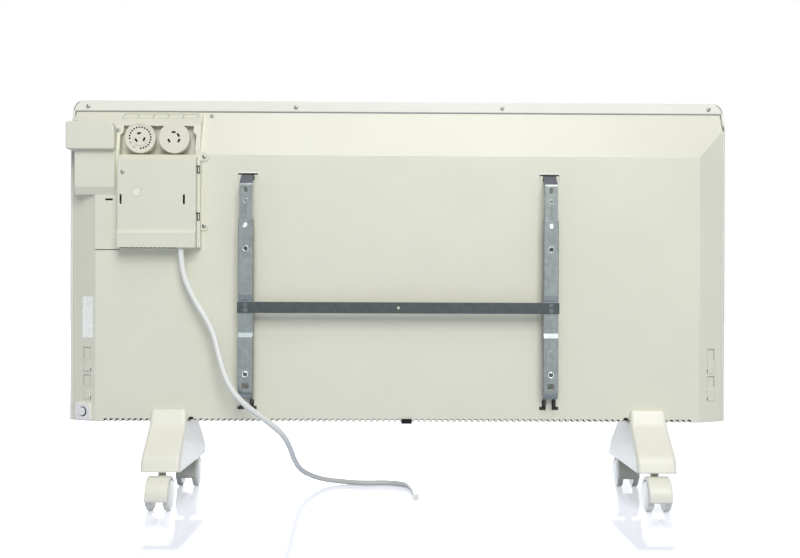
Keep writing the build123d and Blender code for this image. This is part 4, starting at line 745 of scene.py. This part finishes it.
def dress_cover():
    """Lips under the junction cover's key slots in a white that paints their highlight, the painted shade
    in its vents, and a black bead of painted shade along the seam beside its foot.
    """
    for side, x in KEY_SLOTS:
        lip = []
        for i in range(KEY_LIP_STEPS + 1):
            turn = math.pi * (1 + i / KEY_LIP_STEPS)
            across, up = KEY_LIP_RADIUS * math.cos(turn), KEY_LIP_RADIUS * math.sin(turn)
            lip.append((x + across, COVER_FACE_Y, KEY_LIP_Z + up))
        ridge(f"{side}_key_slot_lip", lip, KEY_LIP_BEAD, "housing_plastic", "heater", finish=highlight_and_button_white)
    bm = bmesh.new()
    for i in range(VENT_COUNT):
        low = Vector((VENT_FIRST + VENT_PITCH * i, *VENT_LOW))
        block(bm, low, low + Vector(VENT_SIZE))
    add_piece("cover_vent_shade", bm, "black_plastic", "heater")
    seam = [(x, SEAM_Y, SEAM_Z) for x in SEAM_XS]
    ridge("housing_foot_seam_shade", seam, SEAM_BEAD, "black_plastic", "heater")


dress_cover()


# ---------------------------------------------------------------- bevels
BEVEL_X, BEVEL_Y = 0.42875, 0.0305       # the middle of a bevel
BEVEL_RUN, BEVEL_DROP = 0.0355, 0.019    # its size across, and towards the front
BEVELS = (("left", 1, 0.006), ("right", -1, 0.0))    # hand, and how far its marks lie off its middle
MARK_HALF = 0.0062                       # half the width of a mark
SUNK_ZS, SUNK_HALF, SUNK_BEAD = (0.1650, 0.2025), 0.00725, 0.00030
STRAP_ZS, STRAP_HALF, STRAP_BEAD = (0.1475, 0.1855), 0.00825, 0.00045
STRAP_SHADE_SPAN, STRAP_SHADE_LIFT = (0.0045, 0.0002), 0.0004    # heights above the strap's lower edge
GLINT_IN, GLINT_UP, GLINT_LIFT, GLINT_BEAD = 0.0010, 0.0006, 0.0006, 0.00055
SENSOR_Z = 0.1225
CRESCENT_ALONG, CRESCENT_LIFT, CRESCENT_RADIUS, CRESCENT_THICK = 0.0009, 0.00306, 0.0067, 0.0003
BUTTON_LIFT, BUTTON_RADIUS, BUTTON_THICK = 0.00440, 0.0054, 0.0004


def bevel_normal(hand):
    return Vector((hand * BEVEL_DROP, BEVEL_RUN, 0.0)).normalized()


def bevel_point(hand, along, z, lift):
    """A point on a rear bevel: along it to the right seen from behind, at a height, lifted off it."""
    run = Vector((-BEVEL_RUN, hand * BEVEL_DROP, 0.0)).normalized()
    return Vector((hand * BEVEL_X, BEVEL_Y, z)) + run * along + bevel_normal(hand) * lift


def bevel_line(hand, spots, lift):
    return [bevel_point(hand, along, z, lift) for along, z in spots]


def dress_marks(side, hand, shift):
    """Shade round two sunk marks of one bevel, and shade and light along its two raised straps."""
    inner, outer = shift + hand * MARK_HALF, shift - hand * MARK_HALF
    grey = materials["grey_plastic"]
    for i, z in enumerate(SUNK_ZS):
        top, low = z + SUNK_HALF, z - SUNK_HALF
        line = bevel_line(hand, ((inner, top), (outer, top), (outer, low)), 0.0)
        ridge(f"{side}_sunk_{i}_shade", line, SUNK_BEAD, "pan_paint", "heater", finish=grey)
    for i, z in enumerate(STRAP_ZS):
        top, low = z + STRAP_HALF, z - STRAP_HALF
        corner = bevel_line(hand, [(inner, low + up) for up in STRAP_SHADE_SPAN], STRAP_SHADE_LIFT)
        ridge(f"{side}_strap_{i}_shade", corner, STRAP_BEAD, "black_plastic", "heater")
        if side == "left":
            lights = [((inner - GLINT_IN, top), (inner - GLINT_IN, low))]
        else:
            lights = [((outer, low + GLINT_UP), (inner, low + GLINT_UP)), ((outer, top), (inner, top))]
        for j, ends in enumerate(lights):
            line = bevel_line(hand, ends, GLINT_LIFT)
            ridge(f"{side}_strap_{i}_light_{j}", line, GLINT_BEAD, "pan_paint", "heater", finish=highlight_and_button_white)


def dress_sensor():
    """The sensor button's white face, over a black disc of painted shade set off to one side that shows as
    a crescent.
    """
    normal = bevel_normal(1)
    bm = bmesh.new()
    place = bevel_point(1, CRESCENT_ALONG, SENSOR_Z, CRESCENT_LIFT)
    disc(bm, place, CRESCENT_RADIUS, CRESCENT_THICK, normal)
    add_piece("sensor_ring_dark", bm, "black_plastic", "heater")
    bm = bmesh.new()
    disc(bm, bevel_point(1, 0.0, SENSOR_Z, BUTTON_LIFT), BUTTON_RADIUS, BUTTON_THICK, normal)
    add_piece("sensor_button_face", bm, "sensor_plastic", "heater", finish=highlight_and_button_white)


for side, hand, shift in BEVELS:
    dress_marks(side, hand, shift)
dress_sensor()


# ---------------------------------------------------------------- mains cord
CORD_RADIUS = 0.004
# corners of its route, from the clamp to its bare end on the floor
CORD_ROUTE = (
    (0.2932, 0.0540, 0.3540), (0.2932, 0.0540, 0.3180), (0.2770, 0.0560, 0.2790),
    (0.2485, 0.0610, 0.2360), (0.2390, 0.0680, 0.2000), (0.2260, 0.0765, 0.1630),
    (0.2060, 0.0755, 0.1370), (0.1760, 0.0570, 0.1130), (0.1560, 0.0390, 0.0920),
    (0.1495, 0.0100, 0.0710), (0.1475, -0.0340, 0.0460), (0.1410, -0.0760, 0.0250),
    (0.1160, -0.1070, 0.0090), (0.0860, -0.1160, 0.0040), (0.0500, -0.1000, 0.0040),
    (0.0160, -0.1080, 0.0040), (-0.0140, -0.0880, 0.0040), (-0.0210, -0.0500, 0.0040),
    (-0.0245, -0.0140, 0.0040), (-0.0255, 0.0200, 0.0040),
)


def dress_cord():
    """The cord's sheath on a smooth curve through its route."""
    data = bpy.data.curves.new("mains_cord_line", "CURVE")
    data.dimensions = "3D"
    line = data.splines.new("NURBS")
    line.points.add(len(CORD_ROUTE) - 1)
    for point, place in zip(line.points, CORD_ROUTE):
        point.co = (*place, 1.0)
    line.order_u = 3
    line.use_endpoint_u = True
    line.resolution_u = 10
    data.bevel_depth = CORD_RADIUS
    data.bevel_resolution = 6
    data.use_fill_caps = True
    cord = add_object("mains_cord_sheath", data, "cord_sheath", "heater")
    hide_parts("mains_cord")


dress_cord()


# ---------------------------------------------------------------- floor, lamps and world
WHITE = (1.0, 1.0, 1.0, 1.0)
FLOOR_HALF = 14.0
FLOOR_COLOUR, FLOOR_ROUGH, FLOOR_IOR = linear(204, 209, 226), 0.035, 1.45
FLOOR_GLOW = 0.46                        # beside the heater; it rises to full white further off
GLOW_FROM, GLOW_TO = 1.0, 3.2            # where it starts and ends to rise, from the frame's origin
AMBIENT_COLOUR, AMBIENT_STRENGTH = (0.92, 0.96, 1.0, 1.0), 0.155
# name, place, aim, size, power and colour
LAMPS = (
    ("key", (-0.45, 2.95, 2.2), (0, 0, 0.3), 1.8, 69.0, (1.0, 0.99, 0.97)),
    ("top", (-0.1, 1.7, 2.8), (0, 0, 0.35), 1.5, 20.0, (0.97, 0.98, 1.0)),
    ("front", (0.2, -2.6, 1.1), (0, 0, 0.15), 1.8, 43.0, (0.85, 0.90, 1.0)),
)


def seen_rays(tree):
    """1 for rays from the camera, a mirror or glass, 0 for those that light dull faces."""
    path = tree.nodes.new("ShaderNodeLightPath")
    seen = path.outputs["Is Camera Ray"]
    for kind in ("Is Glossy Ray", "Is Transmission Ray"):
        either = tree.nodes.new("ShaderNodeMath")
        either.operation = "MAXIMUM"
        tree.links.new(seen, either.inputs[0])
        tree.links.new(path.outputs[kind], either.inputs[1])
        seen = either.outputs[0]
    return seen


def floor_material():
    """Pale gloss with a glow that seen rays meet, so that it whitens without lighting dull faces."""
    m = Nodes("floor_gloss")
    m.set(Base_Color=FLOOR_COLOUR, Roughness=FLOOR_ROUGH, IOR=FLOOR_IOR)
    reach = m.add("ShaderNodeVectorMath", operation="LENGTH")
    m.join(m.coords.outputs["Object"], reach.inputs[0])
    rise = m.add("ShaderNodeMapRange")
    rise.inputs["From Min"].default_value = GLOW_FROM
    rise.inputs["From Max"].default_value = GLOW_TO
    rise.inputs["To Min"].default_value = FLOOR_GLOW
    rise.inputs["To Max"].default_value = 1.0
    m.join(reach.outputs["Value"], rise.inputs["Value"])
    strength = m.add("ShaderNodeMath", operation="MULTIPLY")
    m.join(seen_rays(m.tree), strength.inputs[0])
    m.join(rise.outputs["Result"], strength.inputs[1])
    glow = m.add("ShaderNodeEmission")
    glow.inputs["Color"].default_value = WHITE
    m.join(strength.outputs[0], glow.inputs["Strength"])
    total = m.add("ShaderNodeAddShader")
    m.join(m.shader.outputs["BSDF"], total.inputs[0])
    m.join(glow.outputs["Emission"], total.inputs[1])
    m.join(total.outputs["Shader"], m.tree.nodes["Material Output"].inputs["Surface"])
    return m.material


def add_floor():
    half = FLOOR_HALF
    mesh = bpy.data.meshes.new("floor")
    corners = [(-half, -half, 0), (half, -half, 0), (half, half, 0), (-half, half, 0)]
    mesh.from_pydata(corners, [], [(0, 1, 2, 3)])
    mesh.materials.append(floor_material())
    floor = bpy.data.objects.new("floor", mesh)
    scene.collection.objects.link(floor)


def add_lamp(name, place, aim, size, power, colour):
    data = bpy.data.lights.new(name, "AREA")
    data.shape = "SQUARE"
    data.size = size
    data.energy = power
    data.color = colour
    lamp = bpy.data.objects.new(name, data)
    lamp.location = place
    lamp.rotation_euler = (Vector(aim) - Vector(place)).to_track_quat("-Z", "Y").to_euler()
    scene.collection.objects.link(lamp)


def add_world():
    """White to seen rays, and a weak cool light to the others."""
    world = bpy.data.worlds.new("world")
    world.use_nodes = True
    scene.world = world
    tree = world.node_tree
    tree.nodes.clear()
    switch = tree.nodes.new("ShaderNodeMixShader")
    tree.links.new(seen_rays(tree), switch.inputs[0])
    for socket, colour, strength in ((1, AMBIENT_COLOUR, AMBIENT_STRENGTH), (2, WHITE, 1.0)):
        light = tree.nodes.new("ShaderNodeBackground")
        light.inputs["Color"].default_value = colour
        light.inputs["Strength"].default_value = strength
        tree.links.new(light.outputs[0], switch.inputs[socket])
    output = tree.nodes.new("ShaderNodeOutputWorld")
    tree.links.new(switch.outputs[0], output.inputs["Surface"])


add_floor()
for lamp_values in LAMPS:
    add_lamp(*lamp_values)
add_world()

scene.view_settings.view_transform = "Standard"
